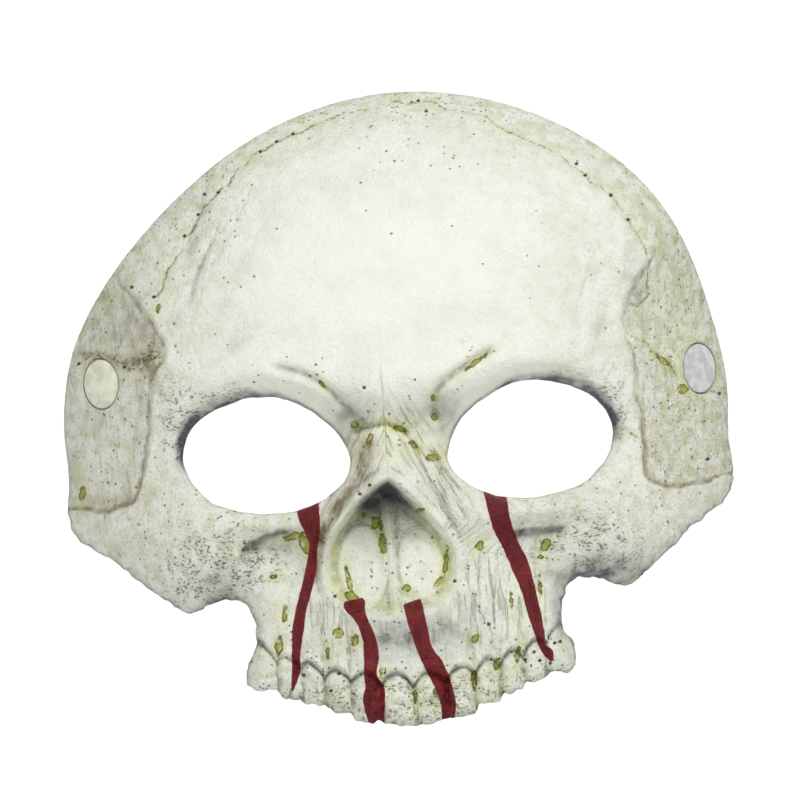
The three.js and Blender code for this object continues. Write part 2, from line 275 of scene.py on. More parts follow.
def frowns(x, z):
    """The creases over the brows, deepening from their outer ends, from 0 to 1."""
    creases = [line_distance(x, z, curve(frown)) for frown in FROWNS]
    return sum(groove(distance, 1.4) * smooth(0, 0.2, along) for distance, along in creases)


# Mounds, here and below: height, place, size, and the turn of the first size from the horizontal.
BROWS = [
    (3.4, (33, 23), (20, 4.6), 7), (2.6, (64, 12), (5.5, 12), 0), (2.6, (52, 22), (9, 5), -22),
    (-1.4, (12, 8.5), (3, 2), 0),
]
BROW_FOLDS = [
    (3.2, (0, 20), (13, 8), 0), (0.9, (-30, 22), (9, 1.6), -27), (0.8, (26, 29.5), (8, 1.6), 34),
]


def brows(x, z, frown):
    return both_sides(x, z, BROWS) + mounds(x, z, BROW_FOLDS) - 1.7 * frown


NASION = [(-12, 6), (-8, 7.3), (-3.5, 7.4), (0.5, 6), (3.5, 3.2), (6.4, -1.5)]
NOSE_RIM = [
    (-4.2, -9.2), (-10, -12.6), (-17, -19.6), (-22, -27), (-24.3, -35.5), (-23.3, -42.5),
    (-18.5, -47.6), (-10, -49.6), (0, -50.2), (8.5, -48.4), (13.2, -43.4), (15.3, -36.5), (14, -29.5),
    (9.5, -22.8), (3, -15.2), (-1.6, -10.6),
]
NOSE_FOLDS = [
    [(-11.5, 5), (-14.1, 0.5), (-18, -8), (-21.5, -16.2), (-25.6, -28), (-27, -40)],
    [(-9, 1), (-11.6, -6.6), (-18.2, -15.8), (-24, -25), (-26.8, -36)],
    [(3.6, 1), (6.3, -4.8), (9.5, -11.5), (12.7, -18.4), (17.2, -28)],
    [(9.5, 0), (13, -7), (18.5, -14), (24, -21)],
]


def nasal_bones(x, z):
    """The ridge of the nose, rising down to its tip, between its flanks."""
    dx = x - NOSE_X
    along = np.clip((6 - z) / 16, 0, 1)
    bones = (2.4 + 8.4 * along) * np.exp(-0.5 * (dx / (3.8 + 4.2 * along)) ** 2)
    flank = 2.2 * np.exp(-0.5 * (dx / 17) ** 2) * smooth(6, -8, z) * smooth(-50, -28, z)
    return bones * smooth(-30, -11, z) * smooth(15, 5, z) + flank


def nose_folds(x, z):
    """The dip between the brows, with its crease, and the folds that run down from it."""
    crease, _ = line_distance(x, z, curve(NASION))
    back = 4.2 * bump(x, z, (0, 5), (12, 4.4)) + 1.5 * groove(crease, 1)
    for fold in NOSE_FOLDS:
        distance, along = line_distance(x, z, curve(fold))
        fade = np.sin(np.pi * along) ** 0.5
        back = back + (0.9 * groove(distance, 0.9) - 0.3 * groove(distance - 2.2, 1)) * fade
    return back


def nose(x, z, rim):
    """A closed, hollowed opening with its septum; rim is the distance outside it."""
    inside = smooth(0.6, -3.4, rim)
    lip = 1.5 * groove(rim - 0.9, 1) * (0.4 + 0.6 * smooth(-48, -38, z))
    lip = (lip - 0.9 * groove(rim - 3.3, 1.2) * smooth(-42, -20, z)) * (1 - 0.5 * smooth(-2, 8, x))
    hollow = 2.8 + 7 * smooth(-31, -13, z)
    septum = (2.7 + 2.2 * smooth(-31, -20, z)) * groove(x + 4.8 + 0.02 * z, 1.3) * smooth(-12, -19, z)
    right_pad = 1.4 * smooth(0.06, -0.06, np.hypot((x + 12.8) / 7.4, (z + 35) / 12.6) - 1)
    left_pad = smooth(0.1, -0.1, np.hypot((x - 4.6) / 6.8, (z + 35) / 10.5) - 1)
    back = inside * (hollow - septum - right_pad - left_pad) - lip
    return back + nose_folds(x, z) - nasal_bones(x, z) * (1 - 0.9 * inside)


# The hollows under the eyes start at these lines.
SHELVES = [
    [(-50, -29.5), (-48, -26.8), (-44, -24.4), (-38, -22.6), (-32, -22.4)],
    [(32, -27.2), (37, -26.7), (42, -27), (48.5, -26.2)],
]


def shelves(x, z):
    """The hollows under the eyes, sharp above and fading downwards, from 0 to 1."""
    total = 0
    for shelf in SHELVES:
        line_x, line_z = curve(shelf).T
        below = np.interp(x, line_x, line_z) + 0.5 * grain(x, z, 3.5, 231) - z
        ends = smooth(line_x[0] - 1, line_x[0] + 3, x) * smooth(line_x[-1] + 2, line_x[-1] - 3, x)
        total = total + ends * smooth(-0.5, 0.8, below) * np.exp(-np.maximum(below, 0) / 2.8)
    return total


CHEEKS = [
    (5.5, (65, -25), (15, 10), -12), (2.2, (40, -20.6), (18, 2.6), 3), (1.6, (22, -22), (5, 9), 25),
    (-1.2, (40, -27), (9, 2.4), 7), (-3, (37, -32), (9, 6), 0), (-3, (33, -45), (6, 11), 8),
    (-2.2, (15, -4), (3.6, 8), -20),
]


def cheeks(x, z, shelf):
    return both_sides(x, z, CHEEKS) - 2.6 * shelf


def tooth_place(x):
    """Which tooth a point belongs to: its centre, half its width, and the offset from its centre."""
    edges = np.array(TOOTH_EDGES)
    which = np.clip(np.searchsorted(edges, np.abs(x)) - 1, 0, len(edges) - 2)
    half = (edges[which + 1] - edges[which]) / 2
    centre = (edges[which + 1] + edges[which]) / 2
    return centre, half, (np.abs(x) - centre) / half


def jaw_amount(x, z):
    """1 over the teeth and their roots, fading to 0 past them."""
    return smooth(52, 46, np.abs(x)) * smooth(-44, -52, z)


def gum_line(x):
    _, half, offset = tooth_place(x)
    return -69.6 + 0.0058 * x**2 + 0.42 * half * (1 - 2 * offset**2) + 0.9 * grain(x, x * 0, 5, 5)


def upper_jaw(x, z):
    """The jaw's arch, the ridges over the roots, the gum's edge and the worn teeth."""
    centre, half, offset = tooth_place(x + 0.7 * grain(x, z, 7, 201))
    arch = 10 * np.exp(-0.5 * ((x + 1) / 27) ** 2) * smooth(-32, -56, z)
    hollow = 1.8 * bump(x, z, (1, -59), (12, 4.5))
    canine = 1.1 + 1.3 * np.exp(-(((centre - 22) / 5) ** 2))
    roots = canine * (1 - offset**2) * smooth(-38, -58, z) * smooth(6, 14, np.abs(x))
    below = gum_line(x) - z
    tooth = 1.1 * (1 - offset**4) * smooth(0, 2.5, below)
    parted = 0.3 + 0.7 * smooth(-0.3, 0.3, grain(x, z * 0.2, 8, 241, 2))
    gap = 0.8 * parted * groove(half * (1 - np.abs(offset)), 0.6) * smooth(-0.5, 2, below)
    neck = 1.6 * groove(below - 0.4, 0.8) - 0.8 * groove(below + 1.4, 1)
    rough = (0.8 * grain(x, z, 2.8, 191) + 0.5 * grain(x, z * 0.5, 1.6, 195, 2)) * smooth(-1, 2, below)
    return arch - hollow + jaw_amount(x, z) * (0.6 * roots + tooth - gap - neck + rough)


TEMPLE_RIGHT = [
    (-125, 60), (-88, 60), (-79, 53), (-72.5, 44), (-68.8, 37), (-69.2, 31), (-72.6, 25), (-74, 14),
    (-75.6, 4), (-78.4, -6), (-81.5, -11.8), (-91, -14), (-98, -12.6), (-125, -9),
]
TEMPLE_LEFT = [
    (125, 64), (86, 62), (80, 53), (73.5, 43.5), (70.3, 37.5), (70, 31), (72, 24), (72.5, 12), (74, 0),
    (74, -9), (75.5, -14.8), (84, -17.3), (92, -16.6), (98, -14.6), (125, -12),
]


def temple_distance(x, z):
    right = signed_distance(x, z, curve(TEMPLE_RIGHT, closed=True))
    left = signed_distance(x, z, curve(TEMPLE_LEFT, closed=True))
    return np.minimum(right, left) + 0.6 * grain(x, z, 7, 21, 4)


def temples(x, z, panel):
    """The sides lie lower, behind a sharp step with a lip; a crust of paint crosses the right one."""
    step = 1.5 * smooth(0.5, -0.6, panel) + 0.9 * smooth(0, -5, panel) - 0.6 * groove(panel - 1.2, 1.1)
    step = step + 0.7 * groove(panel + 0.3, 0.5)
    crust = np.maximum(0.4 + 1.4 * grain(x, z, 2.6, 251), 0) * crusted(x, z)
    return step * smooth(66, 46, z) - 1.1 * crust


CRUST = [(1, (-87, 32.6), (7, 1.3), -14), (1, (-76, 30), (4, 1.2), 8), (1, (-72.6, 31), (2.2, 6), 8)]


def crusted(x, z):
    """Where the crust lies, from 0 to 1."""
    return np.minimum(mounds(x, z, CRUST), 1)


CORONAL = [
    (-70, 50), (-65, 58.5), (-55, 74), (-47.5, 82.5), (-36, 91.8), (-25, 97.2), (-10, 102), (7, 104.4),
    (19, 103), (31, 98.6), (42, 91.6), (53.5, 86), (61.5, 78.6), (69, 71.8), (74, 64), (78.5, 55),
    (79, 46), (78, 42),
]
CRACKS = [
    CORONAL,
    [(-95.4, 31.2), (-89, 35), (-82, 30.8), (-77, 29.8), (-70.7, 32.6)],
    [(73, 29.5), (80.2, 22.4), (86, 17)],
    [(70.9, 40.3), (74.6, 37.8), (79, 42)],
    [(63, 1.5), (68, 1), (73, -2)],
    [(-10.6, 6.5), (-4, 7.6), (2.7, 4.5), (6.2, -1.2)],
]


def crack_distance(x, z):
    jagged_x = x + 0.9 * grain(x, z, 5, 31)
    jagged_z = z + 0.9 * grain(x, z, 5, 41)
    return np.minimum.reduce([line_distance(jagged_x, jagged_z, np.array(c, float))[0] for c in CRACKS])


def edge_roll(x, z, edge):
    low = smooth(-8, -24, z)
    teeth = smooth(-60, -68, z)
    return (1.2 + 6.2 * low * (1 - 0.8 * teeth)) * np.exp(-np.maximum(edge, 0) / (2.2 + 1.6 * low))


def relief(x, z, field):
    back = dome(x, z) + orbits(x, z, field["eyes"]) + nose(x, z, field["nose"])
    back = back + temples(x, z, field["panel"]) + edge_roll(x, z, field["edge"])
    back = back + 0.55 * groove(field["crack"], 0.55)
    return back - brows(x, z, field["frown"]) - cheeks(x, z, field["shelf"]) - upper_jaw(x, z)


STRANDS_ON_JAW = [
    (1, (25, -46), (8, 12), 0), (0.7, (-24, -48), (8, 10), 0), (0.5, (38, -48), (4, 8), 0),
    (0.5, (1, -56), (11, 4), 0),
]
STRANDS_BY_NOSE = [(1.3, (-15, -12), (6, 16), -28), (1.1, (11, -9), (5, 14), 26)]
STRAND_LEAN = 28


def strands(x, z, rim):
    """Fine ridges by the nose and over the roots: places across and along them, and how strong."""
    beside = np.minimum(mounds(x, z, STRANDS_BY_NOSE), 1)
    strong = np.maximum(mounds(x, z, STRANDS_ON_JAW), beside) * smooth(0, 2, rim)
    leaning = smooth(-34, -22, z) * smooth(60, 30, np.abs(x))
    lean_here = np.where(x < NOSE_X, -STRAND_LEAN, STRAND_LEAN) * leaning
    return *along_and_across(x, z, lean_here), strong


def creases(u, v, width, length, seed):
    """Thin lines that run mostly along v, from 0 to 1."""
    return groove(gradient_noise(u / width, v / length, seed), 0.16)


STROKE_LEAN = 23


def strokes(x, z, field):
    """Long brush marks beside the forehead, from 0 up."""
    across, along = along_and_across(x, z, -STROKE_LEAN)
    return np.maximum(grain(across, 0.12 * along, 3.6, 85), 0) * field["brushed"]


def lumps(x, z, field):
    """The hand-made unevenness of the casting, its wrinkles and its pits."""
    across, along, strong = strands(x, z, field["nose"])
    soft = 0.5 * grain(x, z, 22, 51, 2) + 0.2 * grain(x, z, 4, 61)
    lines = creases(across, along, 4.2, 26, 71) + 0.7 * creases(across, along, 2.7, 17, 73)
    wrinkles = 0.6 * lines + 0.3 * grain(across, along * 0.15, 3.4, 81, 2)
    pitted = 0.6 * np.maximum(grain(x, z * 1.6, 2.4, 91, 2) - 0.2, 0) * field["porous"]
    return soft + wrinkles * strong + pitted + 1.3 * strokes(x, z, field)


# ================================================ paint, as distances and amounts over the front view
# Streaks of blood: x, z and half the width, from the top down.
STREAKS = [
    [
        (-28.1, -12, 3.3), (-28.1, -18, 3.3), (-27.3, -23, 2.5), (-27.2, -28, 1.3), (-28.7, -36, 1.7),
        (-31.9, -46, 1.6), (-33.5, -53, 1.7), (-34.5, -60, 1.3), (-34.7, -64.6, 1.3), (-35.5, -68, 0.9),
        (-36.6, -71.6, 0.1),
    ],
    [
        (-16.3, -44.6, 2.9), (-15.9, -46.4, 3.3), (-14.5, -50, 1.9), (-12.5, -55.7, 1.9),
        (-11.9, -61.2, 2.3), (-12.6, -67.4, 1.9), (-11.6, -71.6, 2.9), (-12, -75, 3.3),
        (-11.8, -79.2, 2.8), (-11.6, -83.5, 2),
    ],
    [
        (1.2, -46.2, 2.8), (1.8, -49, 2.8), (2.6, -53.9, 2.7), (4.2, -60.9, 2.3), (6.6, -65.8, 2.8),
        (8.8, -71.5, 2.6), (10.1, -77.1, 2.3), (9.9, -80.5, 2), (8.9, -84, 1.2),
    ],
    [
        (28, -14, 3.3), (28.5, -18.2, 3.2), (29.7, -25.2, 2.9), (32, -31.6, 2.5), (34.4, -37.9, 2.7),
        (36.3, -45, 2.1), (37.6, -52, 2), (38.9, -58.9, 1.5), (39.4, -62.2, 1), (41.1, -64.4, 1.5),
        (41.9, -66.4, 0.7),
    ],
]
# Olive stains: x, z, half length, half width, and the turn of the length from the horizontal.
STAINS = [
    (-29.4, -27.6, 3.6, 1.9, -60), (-33, -24.6, 4.2, 1.0, 14), (-6.4, -28.6, 3.2, 1.3, 88),
    (-6.6, -22.5, 4, 0.5, 90), (-8.4, -22.2, 1.9, 1.1, 88), (-17.4, -38.5, 4.6, 0.8, -80),
    (-16.6, -44, 2.4, 1.5, -30), (-21.5, -54.4, 1.9, 1.6, 60), (-16.6, -56.8, 1.8, 1.2, 80),
    (-37, -47.4, 3.2, 0.8, 85), (-39.4, -57, 3, 1.2, 80), (0, -42.2, 1.4, 1.2, 0),
    (12.1, -35.6, 4.8, 0.8, 82), (9.6, -41, 2.2, 0.8, 50), (42.4, -32, 2, 1.5, 65),
    (40.6, -35.5, 1, 0.5, 0), (39.8, -44.8, 2.5, 0.7, 90), (18.3, -71, 3.4, 0.9, 88),
    (25.5, -66.7, 2.2, 1.1, 70), (0.4, -74.4, 1.9, 0.8, 90), (-8.8, -66.9, 2.5, 0.9, 86),
    (6.4, -74, 1.8, 0.7, 80), (32, -64, 2.2, 0.9, 75), (0.7, 5.6, 2.1, 1.0, -28),
    (4.8, 0.6, 1.9, 0.9, -42), (10.6, -3.6, 2.3, 1.3, 5), (-12.6, 7.6, 1.3, 1.1, 0),
    (11.3, 8.4, 0.9, 1.4, 0), (-8.4, 3, 2.2, 0.8, 60), (11.4, 14.4, 0.7, 1.1, 0),
    (24.8, 24, 4.1, 0.75, 34), (-21.4, 20.3, 1.6, 0.6, -42), (5.4, -19.2, 1.2, 0.8, 0),
    (-11.5, -19.4, 0.8, 0.7, 0), (22.5, -31, 1.6, 1.2, 60), (-40, -36.5, 1.1, 0.8, 0),
    (31, -48, 2.4, 0.7, 85), (19.5, -58.5, 1.4, 1.1, 60), (-25, -60, 1.8, 0.6, 88),
    (27, -76, 1.2, 0.8, 90), (87, 12, 2, 1.5, 0), (81.5, 21, 2.6, 0.9, -42), (-96.5, -8, 2.4, 1, 80),
    (-69.5, 46.5, 1.4, 0.7, 60),
]
PINHOLES = [
    (-21.7, -43.3), (23.7, -54.5), (43.2, -61.6), (44.9, -61.3), (-32.6, -66.3), (-24.7, -71.4),
    (-22, -66.4), (14.4, -41), (36.8, -63.8), (38.4, -66.5), (34, -66), (41.5, -67.5), (-95, 31.4),
    (-81, 29.4), (98.4, 10), (93.5, -9.6), (-35.9, 91.9), (-30.8, 94.7), (-25.7, 96.7), (-49.3, 80.4),
    (-53.6, 80.1), (-55.8, 74), (-60.3, 67.8), (-77.3, 53.4), (-70.7, 50), (-12.3, -13.1),
    (-9.2, -10.6), (61.7, 78.4), (59.3, 82.1), (69, 71.9), (73.8, 64.2), (-9, 18.6), (15, 101),
    (12.8, 104.4),
]
PINHOLE_SIZE = (0.75, 0.65)
# Where small olive specks and pores lie thickest: place, spread, specks, pores.
SPECKLED = [
    ((0, -68), (24, 6), 1, 1), ((36, -66), (8, 4), 0.8, 1), ((-38, -64), (7, 4), 0.6, 1),
    ((-3, -37), (10, 9), 1, 0.5), ((0, 4), (12, 6), 0.7, 0.3), ((-62, -26), (15, 8), 0.3, 0.8),
    ((64, -27), (15, 8), 0.4, 0.8), ((86, 10), (8, 16), 0.8, 0.15), ((-86, 12), (8, 24), 0.4, 0.12),
    ((-60, 72), (12, 14), 0.3, 0.5), ((-29, 25), (9, 3), 0.8, 0.3), ((22, 24), (7, 5), 0.6, 0.3),
    ((-74, 31), (5, 6), 0.9, 0.9), ((8, 88), (18, 9), 0.4, 0.15), ((0, 102), (40, 3), 0.4, 0.7),
    ((20, -52), (10, 8), 0.3, 0.5), ((-30, -48), (9, 12), 0.3, 0.4),
]


# Patches of wash, as mounds; the blue-grey ones are partly painted shade.
SLATE_AND_SHADE_PATCHES = [
    (0.85, (0, -56.5), (10, 4.6), 0), (0.2, (19, -54), (6, 6), 0), (1, (59, -41), (11, 3.6), 0),
    (0.6, (-56, -38), (6, 5), 30), (0.6, (46.5, -52), (2.4, 7), 0), (0.22, (-46, 35.5), (4.5, 2.2), 40),
    (0.35, (-84, 43), (7, 7), 0), (0.4, (75, 45), (2.8, 6), 0),
]
UMBER_PATCHES = [
    (0.35, (13, -10), (3, 11), 28), (0.4, (-76, 36), (5, 8), 0), (0.6, (-88, -11), (8, 1.6), 0),
    (0.25, (-78, 64), (8, 5), 50),
]
HALO_PATCHES = [(0.5, (0, 2), (11, 5), 0), (0.5, (-85, 47), (3.5, 5), 0), (0.4, (90, 20), (4, 12), 0)]
BY_THE_EYES = [(1, (64, 6), (5, 10), 0)]
OVER_THE_NOSE = [(0.6, (14, 9), (4, 5), 0)]
GRIMY_CHEEKS = [(0.35, (48, -24), (18, 8), 0)]
BRUSHED = [(1, (-56, 62), (8, 17), -24), (0.5, (60, 46), (7, 14), 10)]
POROUS = [
    (1, (60, -34), (9, 7), -30), (1, (65, 9), (3.5, 9), 0), (0.5, (46, -33), (8, 5), 0),
    (0.5, (52, 19), (8, 2), -15),
]


def streak_distance(x, z):
    """Distance inside the painted streaks, negative outside them."""
    deepest = np.full(np.shape(x), -np.inf)
    for streak in STREAKS:
        line = curve(streak)
        distance, along = line_distance(x, z, line[:, :2])
        travelled = lengths_along(line[:, :2])
        heading = (line[4] - line[0])[:2] / np.hypot(*(line[4] - line[0])[:2])
        past_top = (x - line[0, 0]) * heading[0] + (z - line[0, 1]) * heading[1]
        inside = np.interp(along * travelled[-1], travelled, line[:, 2]) - distance
        deepest = np.maximum(deepest, np.minimum(inside, past_top))
    return deepest + 0.14 * grain(x, z, 3, 131, 2)


def ovals(x, z, shapes):
    """Distance inside the nearest of some ovals, negative outside."""
    deepest = np.full(np.shape(x), -np.inf)
    for cx, cz, length, width, degrees in shapes:
        u, v = along_and_across(x - cx, z - cz, degrees)
        deepest = np.maximum(deepest, (1 - np.hypot(u / length, v / width)) * min(length, width))
    return deepest


def speckled(x, z, kind):
    """How thick the specks (kind 0) or the pores (kind 1) lie, from 0 to 1."""
    return np.clip(sum(rest[kind] * bump(x, z, at, spread) for at, spread, *rest in SPECKLED), 0, 1)


def slate_wash_and_shade(x, z, field, gum_shade):
    """Blue-grey wash and painted shade under the brows, in the hollows and along the edges."""
    rim, eyes, edge = field["nose"], np.maximum(field["eyes"], 0), field["edge"]
    outer = smooth(24, 54, np.abs(x))
    # Painted shade where the skin turns in under the brows.
    brow = smooth(1.3 + 3 * outer, 0.2, eyes) * smooth(-6, 8, z) * (0.5 + 0.5 * outer)
    peak = bump(x, z, (-4.2, -13.5), (7, 5)) + 0.7 * groove(rim + 2, 3.4) * smooth(-31, -15, z)
    wash = smooth(0.5, -2, rim) * peak + 1.5 * brow + gum_shade
    wash = wash + 1.2 * field["shelf"] + 0.25 * field["frown"] + 0.5 * strokes(x, z, field)
    wash = wash + 0.6 * np.exp(-eyes / 3) * both_sides(x, z, BY_THE_EYES)
    # Painted shade along the skin's edges.
    wash = wash + 0.5 * np.exp(-edge / 1.2) * smooth(70, -10, z)
    wash = wash + both_sides(x, z, OVER_THE_NOSE) + mounds(x, z, SLATE_AND_SHADE_PATCHES)
    return wash * (0.85 + 0.35 * grain(x, z, 6, 171))


def umber_wash(x, z, field):
    """Brown beside the nose and round the temples."""
    beside, _ = line_distance(x, z, curve(NOSE_FOLDS[1]))
    wash = 1.3 * groove(beside, 2.6) * smooth(0, 3, field["nose"])
    line = (0.4 + 1.1 * smooth(10, -6, z)) * groove(field["panel"], 0.5)
    panel = line + 0.14 * smooth(0, -3, field["panel"])
    wash = wash + panel * smooth(0.1, 0.6, field["sides"]) + 0.7 * crusted(x, z)
    wash = wash + mounds(x, z, UMBER_PATCHES)
    return wash * (0.85 + 0.5 * grain(x, z * 0.5, 3, 181))


def halo_wash(x, z, field, stains):
    """Yellow-green round the stains, the cracks and the teeth, and inside the nose."""
    rim = field["nose"]
    wash = 0.6 * smooth(0.5, -2, rim) * groove(rim + 2.5, 3) + 0.7 * np.exp(np.minimum(stains, 0) / 1.3)
    wash = wash + mounds(x, z, HALO_PATCHES) + 0.3 * np.exp(-field["crack"] / 2)
    wash = wash + 0.2 * jaw_amount(x, z) * smooth(0, 3, gum_line(x) - z) + 0.5 * crusted(x, z)
    return wash * (0.75 + 0.5 * grain(x, z, 5, 161))


def paint(x, z, field):
    """Every painted amount at the points, by name."""
    stains = ovals(x, z, STAINS) + 0.35 * grain(x, z, 1.6, 141, 2)
    # Painted shade along the gum's edge, where it overhangs the teeth.
    gum_shade = 0.9 * jaw_amount(x, z) * groove(gum_line(x) - z, 0.9) * smooth(-0.9, 0.4, grain(x, z, 7, 211))
    clean = bump(x, z, (0, 50), (44, 34))
    panel = smooth(0, -2, field["panel"])
    grime = 0.5 * (1 - clean) + 0.1 * panel + 0.25 * field["sides"] + 0.3 * field["brushed"]
    grime = grime + 0.5 * np.exp(-field["edge"] / 2.5) * smooth(20, 60, z)
    grime = grime + 0.3 * panel * smooth(60, 90, x) + both_sides(x, z, GRIMY_CHEEKS)
    across, along, strong = strands(x, z, field["nose"])
    return {
        "blood": streak_distance(x, z),
        "olive": stains,
        "slate_and_shade": slate_wash_and_shade(x, z, field, gum_shade),
        "umber": umber_wash(x, z, field),
        "halo": halo_wash(x, z, field, stains),
        "grime": grime,
        "crack": field["crack"],
        "porous": field["porous"],
        "speckle": speckled(x, z, 0),
        "pores": speckled(x, z, 1),
        "pinhole": ovals(x, z, [(*at, *PINHOLE_SIZE, 0) for at in PINHOLES]),
        "across": across * MM,
        "along": along * MM,
        "strands": np.maximum(strong, 0.45 * panel),
    }


def fields(x, z):
    """Distances to the features, and the regions, that both the relief and the paint follow."""
    eyes = np.minimum(*(signed_distance(x, z, eye_outline(side)) for side in (-1, 1)))
    edge = np.maximum(-signed_distance(x, z, shell_outline()), 0)
    porous = (both_sides(x, z, POROUS) + 0.6 * crusted(x, z)) * (1 - 0.5 * smooth(20, 50, x))
    porous = porous + 0.4 * smooth(-66, -72, z)
    return {
        "edge": edge,
        "eyes": eyes,
        "nose": signed_distance(x, z, curve(NOSE_RIM, closed=True)),
        "panel": temple_distance(x, z),
        "crack": crack_distance(x, z),
        "porous": np.minimum(porous, 1),
        "frown": frowns(x, z),
        "shelf": shelves(x, z),
        "sides": smooth(64, 80, np.abs(x)) + smooth(16, 7, edge) * smooth(40, 55, z),
        "brushed": mounds(x, z, BRUSHED),
    }


# ================================================ the skin's mesh
OUTER_STEP = 0.62
INNER_STEP = 1.3
GRID_WIDTH, GRID_HEIGHT = (-108, 112), (-92, 114)
THICKNESS = 2.6
EDGE_THICKNESS = 1.7
THINNEST = 1.2
# The skin is flat within one distance of a rivet's centre, and as sculpted beyond the other.
FLAT_WITHIN, SCULPTED_BEYOND = 10, 17
CAP_DOME = 0.7
POCKET_RADIUS = 7.9
POCKET_DEPTH = 1.35
POST_HOLE = 2.6
PINHOLE_DEPTH, STAIN_DEPTH, BLOOD_HEIGHT = 0.5, 0.12, 0.3
# Dirt and painted shade gather where the skin lies this far below its softened self.
HOLLOW_DEPTH = 0.4
# Rounds of softening: for those hollows, and for the back of the skin.
HOLLOW_ROUNDS, BACK_ROUNDS = 10, 6
# Corners nearer the sheet's edge than this share of a cell are moved onto it.
SNAP = 0.3


def node_points(name):
    points = np.array([v.co for v in frame["nodes"][name].data.vertices]) / MM
    return np.unique(points.round(3), axis=0)


class Rivet:
    """Where a rivet meets the skin: its centre, the way outward, and the way to the skin's rear edge."""

    def __init__(self, side):
        washer = node_points("rivet_washer_" + side).mean(axis=0)
        cap = node_points("rivet_cap_" + side)
        self.outward = cap.mean(axis=0) - washer
        self.outward /= np.linalg.norm(self.outward)
        self.centre = washer + self.outward * (((cap - washer) @ self.outward).max() - CAP_DOME)
        self.rearward = np.cross(self.outward, (0, 0, 1))
        self.rearward *= np.sign(self.rearward[1])

    def plane(self, x, z):
        """Depth of the rivet's plane, and the distance within it from the rivet's centre."""
        along = (x - self.centre[0]) / self.rearward[0]
        return self.centre[1] + along * self.rearward[1], np.hypot(along, z - self.centre[2])

    def placed(self, points):
        """Points from the rivet's own frame, with Z outward and X rearward, to the mask's."""
        up = np.cross(self.outward, self.rearward)
        return self.centre + np.asarray(points) @ np.array([self.rearward, up, self.outward])


RIVETS = {side: Rivet(side) for side in ("right", "left")}


def depth_of_front():
    """How far back the relief's zero lies for the skin to meet both rivets."""
    x, z = np.array([rivet.centre[[0, 2]] for rivet in RIVETS.values()]).T
    return np.mean([rivet.centre[1] for rivet in RIVETS.values()] - relief(x, z, fields(x, z)))


FRONT = depth_of_front()


def rest_on_rivets(x, z, y, below=0):
    """The skin lies flat round each rivet."""
    for rivet in RIVETS.values():
        plane, away = rivet.plane(x, z)
        y = y + (plane - below / rivet.outward[1] - y) * smooth(SCULPTED_BEYOND, FLAT_WITHIN, away)
    return y


def skin_gap(x, z, hole_radius):
    """Distance outside the skin, negative within it, with holes of this radius at the rivets."""
    eyes = [-signed_distance(x, z, eye_outline(side)) for side in (-1, 1)]
    holes = [hole_radius - rivet.plane(x, z)[1] for rivet in RIVETS.values()]
    return np.maximum.reduce([signed_distance(x, z, shell_outline()), *eyes, *holes])


def steps(low, high, step):
    return np.arange(low, high + step, step)


def snapped(columns, rows, distance):
    """A grid's corners, those near the edge moved onto it, and the distances they are then at."""
    u, v = np.meshgrid(columns, rows)
    dv, du = np.gradient(distance, rows, columns)
    near = np.abs(distance) < SNAP * min(np.diff(rows).min(), np.diff(columns).min())
    shift = np.where(near, distance / (du**2 + dv**2 + 1e-9), 0)
    corners = np.column_stack([(u - shift * du).ravel(), (v - shift * dv).ravel()])
    return corners, np.where(near, 0, distance).ravel()


def trimmed(cells, distance):
    """The faces left of the cells where the distance is negative, and the sides cut by new corners."""
    cells = cells[distance[cells].min(axis=1) < 0]
    whole = distance[cells].max(axis=1) <= 0
    faces = cells[whole].tolist()
    cuts = {}
    for cell in cells[~whole].tolist():
        face = []
        for a, b in around(cell):
            if distance[a] <= 0:
                face.append(a)
            if distance[a] * distance[b] < 0:
                face.append(cuts.setdefault((min(a, b), max(a, b)), len(distance) + len(cuts)))
        if len(face) > 2:
            faces.append(face)
    return faces, np.array(list(cuts))


def sheet(columns, rows, gap):
    """Corners and faces of the flat sheet where gap(u, v) is negative, trimmed along its edge."""
    distance = gap(*np.meshgrid(columns, rows))
    index = np.arange(distance.size).reshape(distance.shape)
    ring = [index[:-1, :-1], index[:-1, 1:], index[1:, 1:], index[1:, :-1]]
    corners, distance = snapped(columns, rows, distance)
    faces, cuts = trimmed(np.stack(ring, axis=-1).reshape(-1, 4), distance)
    a, b = cuts.T
    t = (distance[a] / (distance[a] - distance[b]))[:, None]
    corners = np.vstack([corners, corners[a] + t * (corners[b] - corners[a])])
    used = np.unique(np.concatenate(faces))
    renumber = np.full(len(corners), -1)
    renumber[used] = np.arange(len(used))
    return corners[used], [renumber[face].tolist() for face in faces]


def edge_loops(faces):
    """Rings of corners round a sheet's edges, in the direction of its faces."""
    directed = {side for face in faces for side in around(face)}
    following = {a: b for a, b in sorted(directed) if (b, a) not in directed}
    loops = []
    while following:
        start, corner = following.popitem()
        loop = [start]
        while corner != start:
            loop.append(corner)
            corner = following.pop(corner)
        loops.append(loop)
    return loops


def zip_loops(points, front, back):
    """Triangles between two rings that run side by side."""
    first = int(np.argmin(np.linalg.norm(points[back] - points[front[0]], axis=1)))
    back = back[first:] + back[: first + 1]
    front = front + front[:1]
    i = j = 0
    triangles = []
    while i < len(front) - 1 or j < len(back) - 1:
        ahead = np.inf if i == len(front) - 1 else np.linalg.norm(points[front[i + 1]] - points[back[j]])
        behind = np.inf if j == len(back) - 1 else np.linalg.norm(points[front[i]] - points[back[j + 1]])
        if ahead < behind:
            triangles.append([front[i + 1], front[i], back[j]])
            i += 1
        else:
            triangles.append([front[i], back[j], back[j + 1]])
            j += 1
    return triangles


def softened(grid, rounds):
    """The grid averaged with its neighbours a number of times."""
    for _ in range(rounds):
        padded = np.pad(grid, 1, mode="edge")
        rows = (padded[:-2] + 2 * padded[1:-1] + padded[2:]) / 4
        grid = (rows[:, :-2] + 2 * rows[:, 1:-1] + rows[:, 2:]) / 4
    return grid


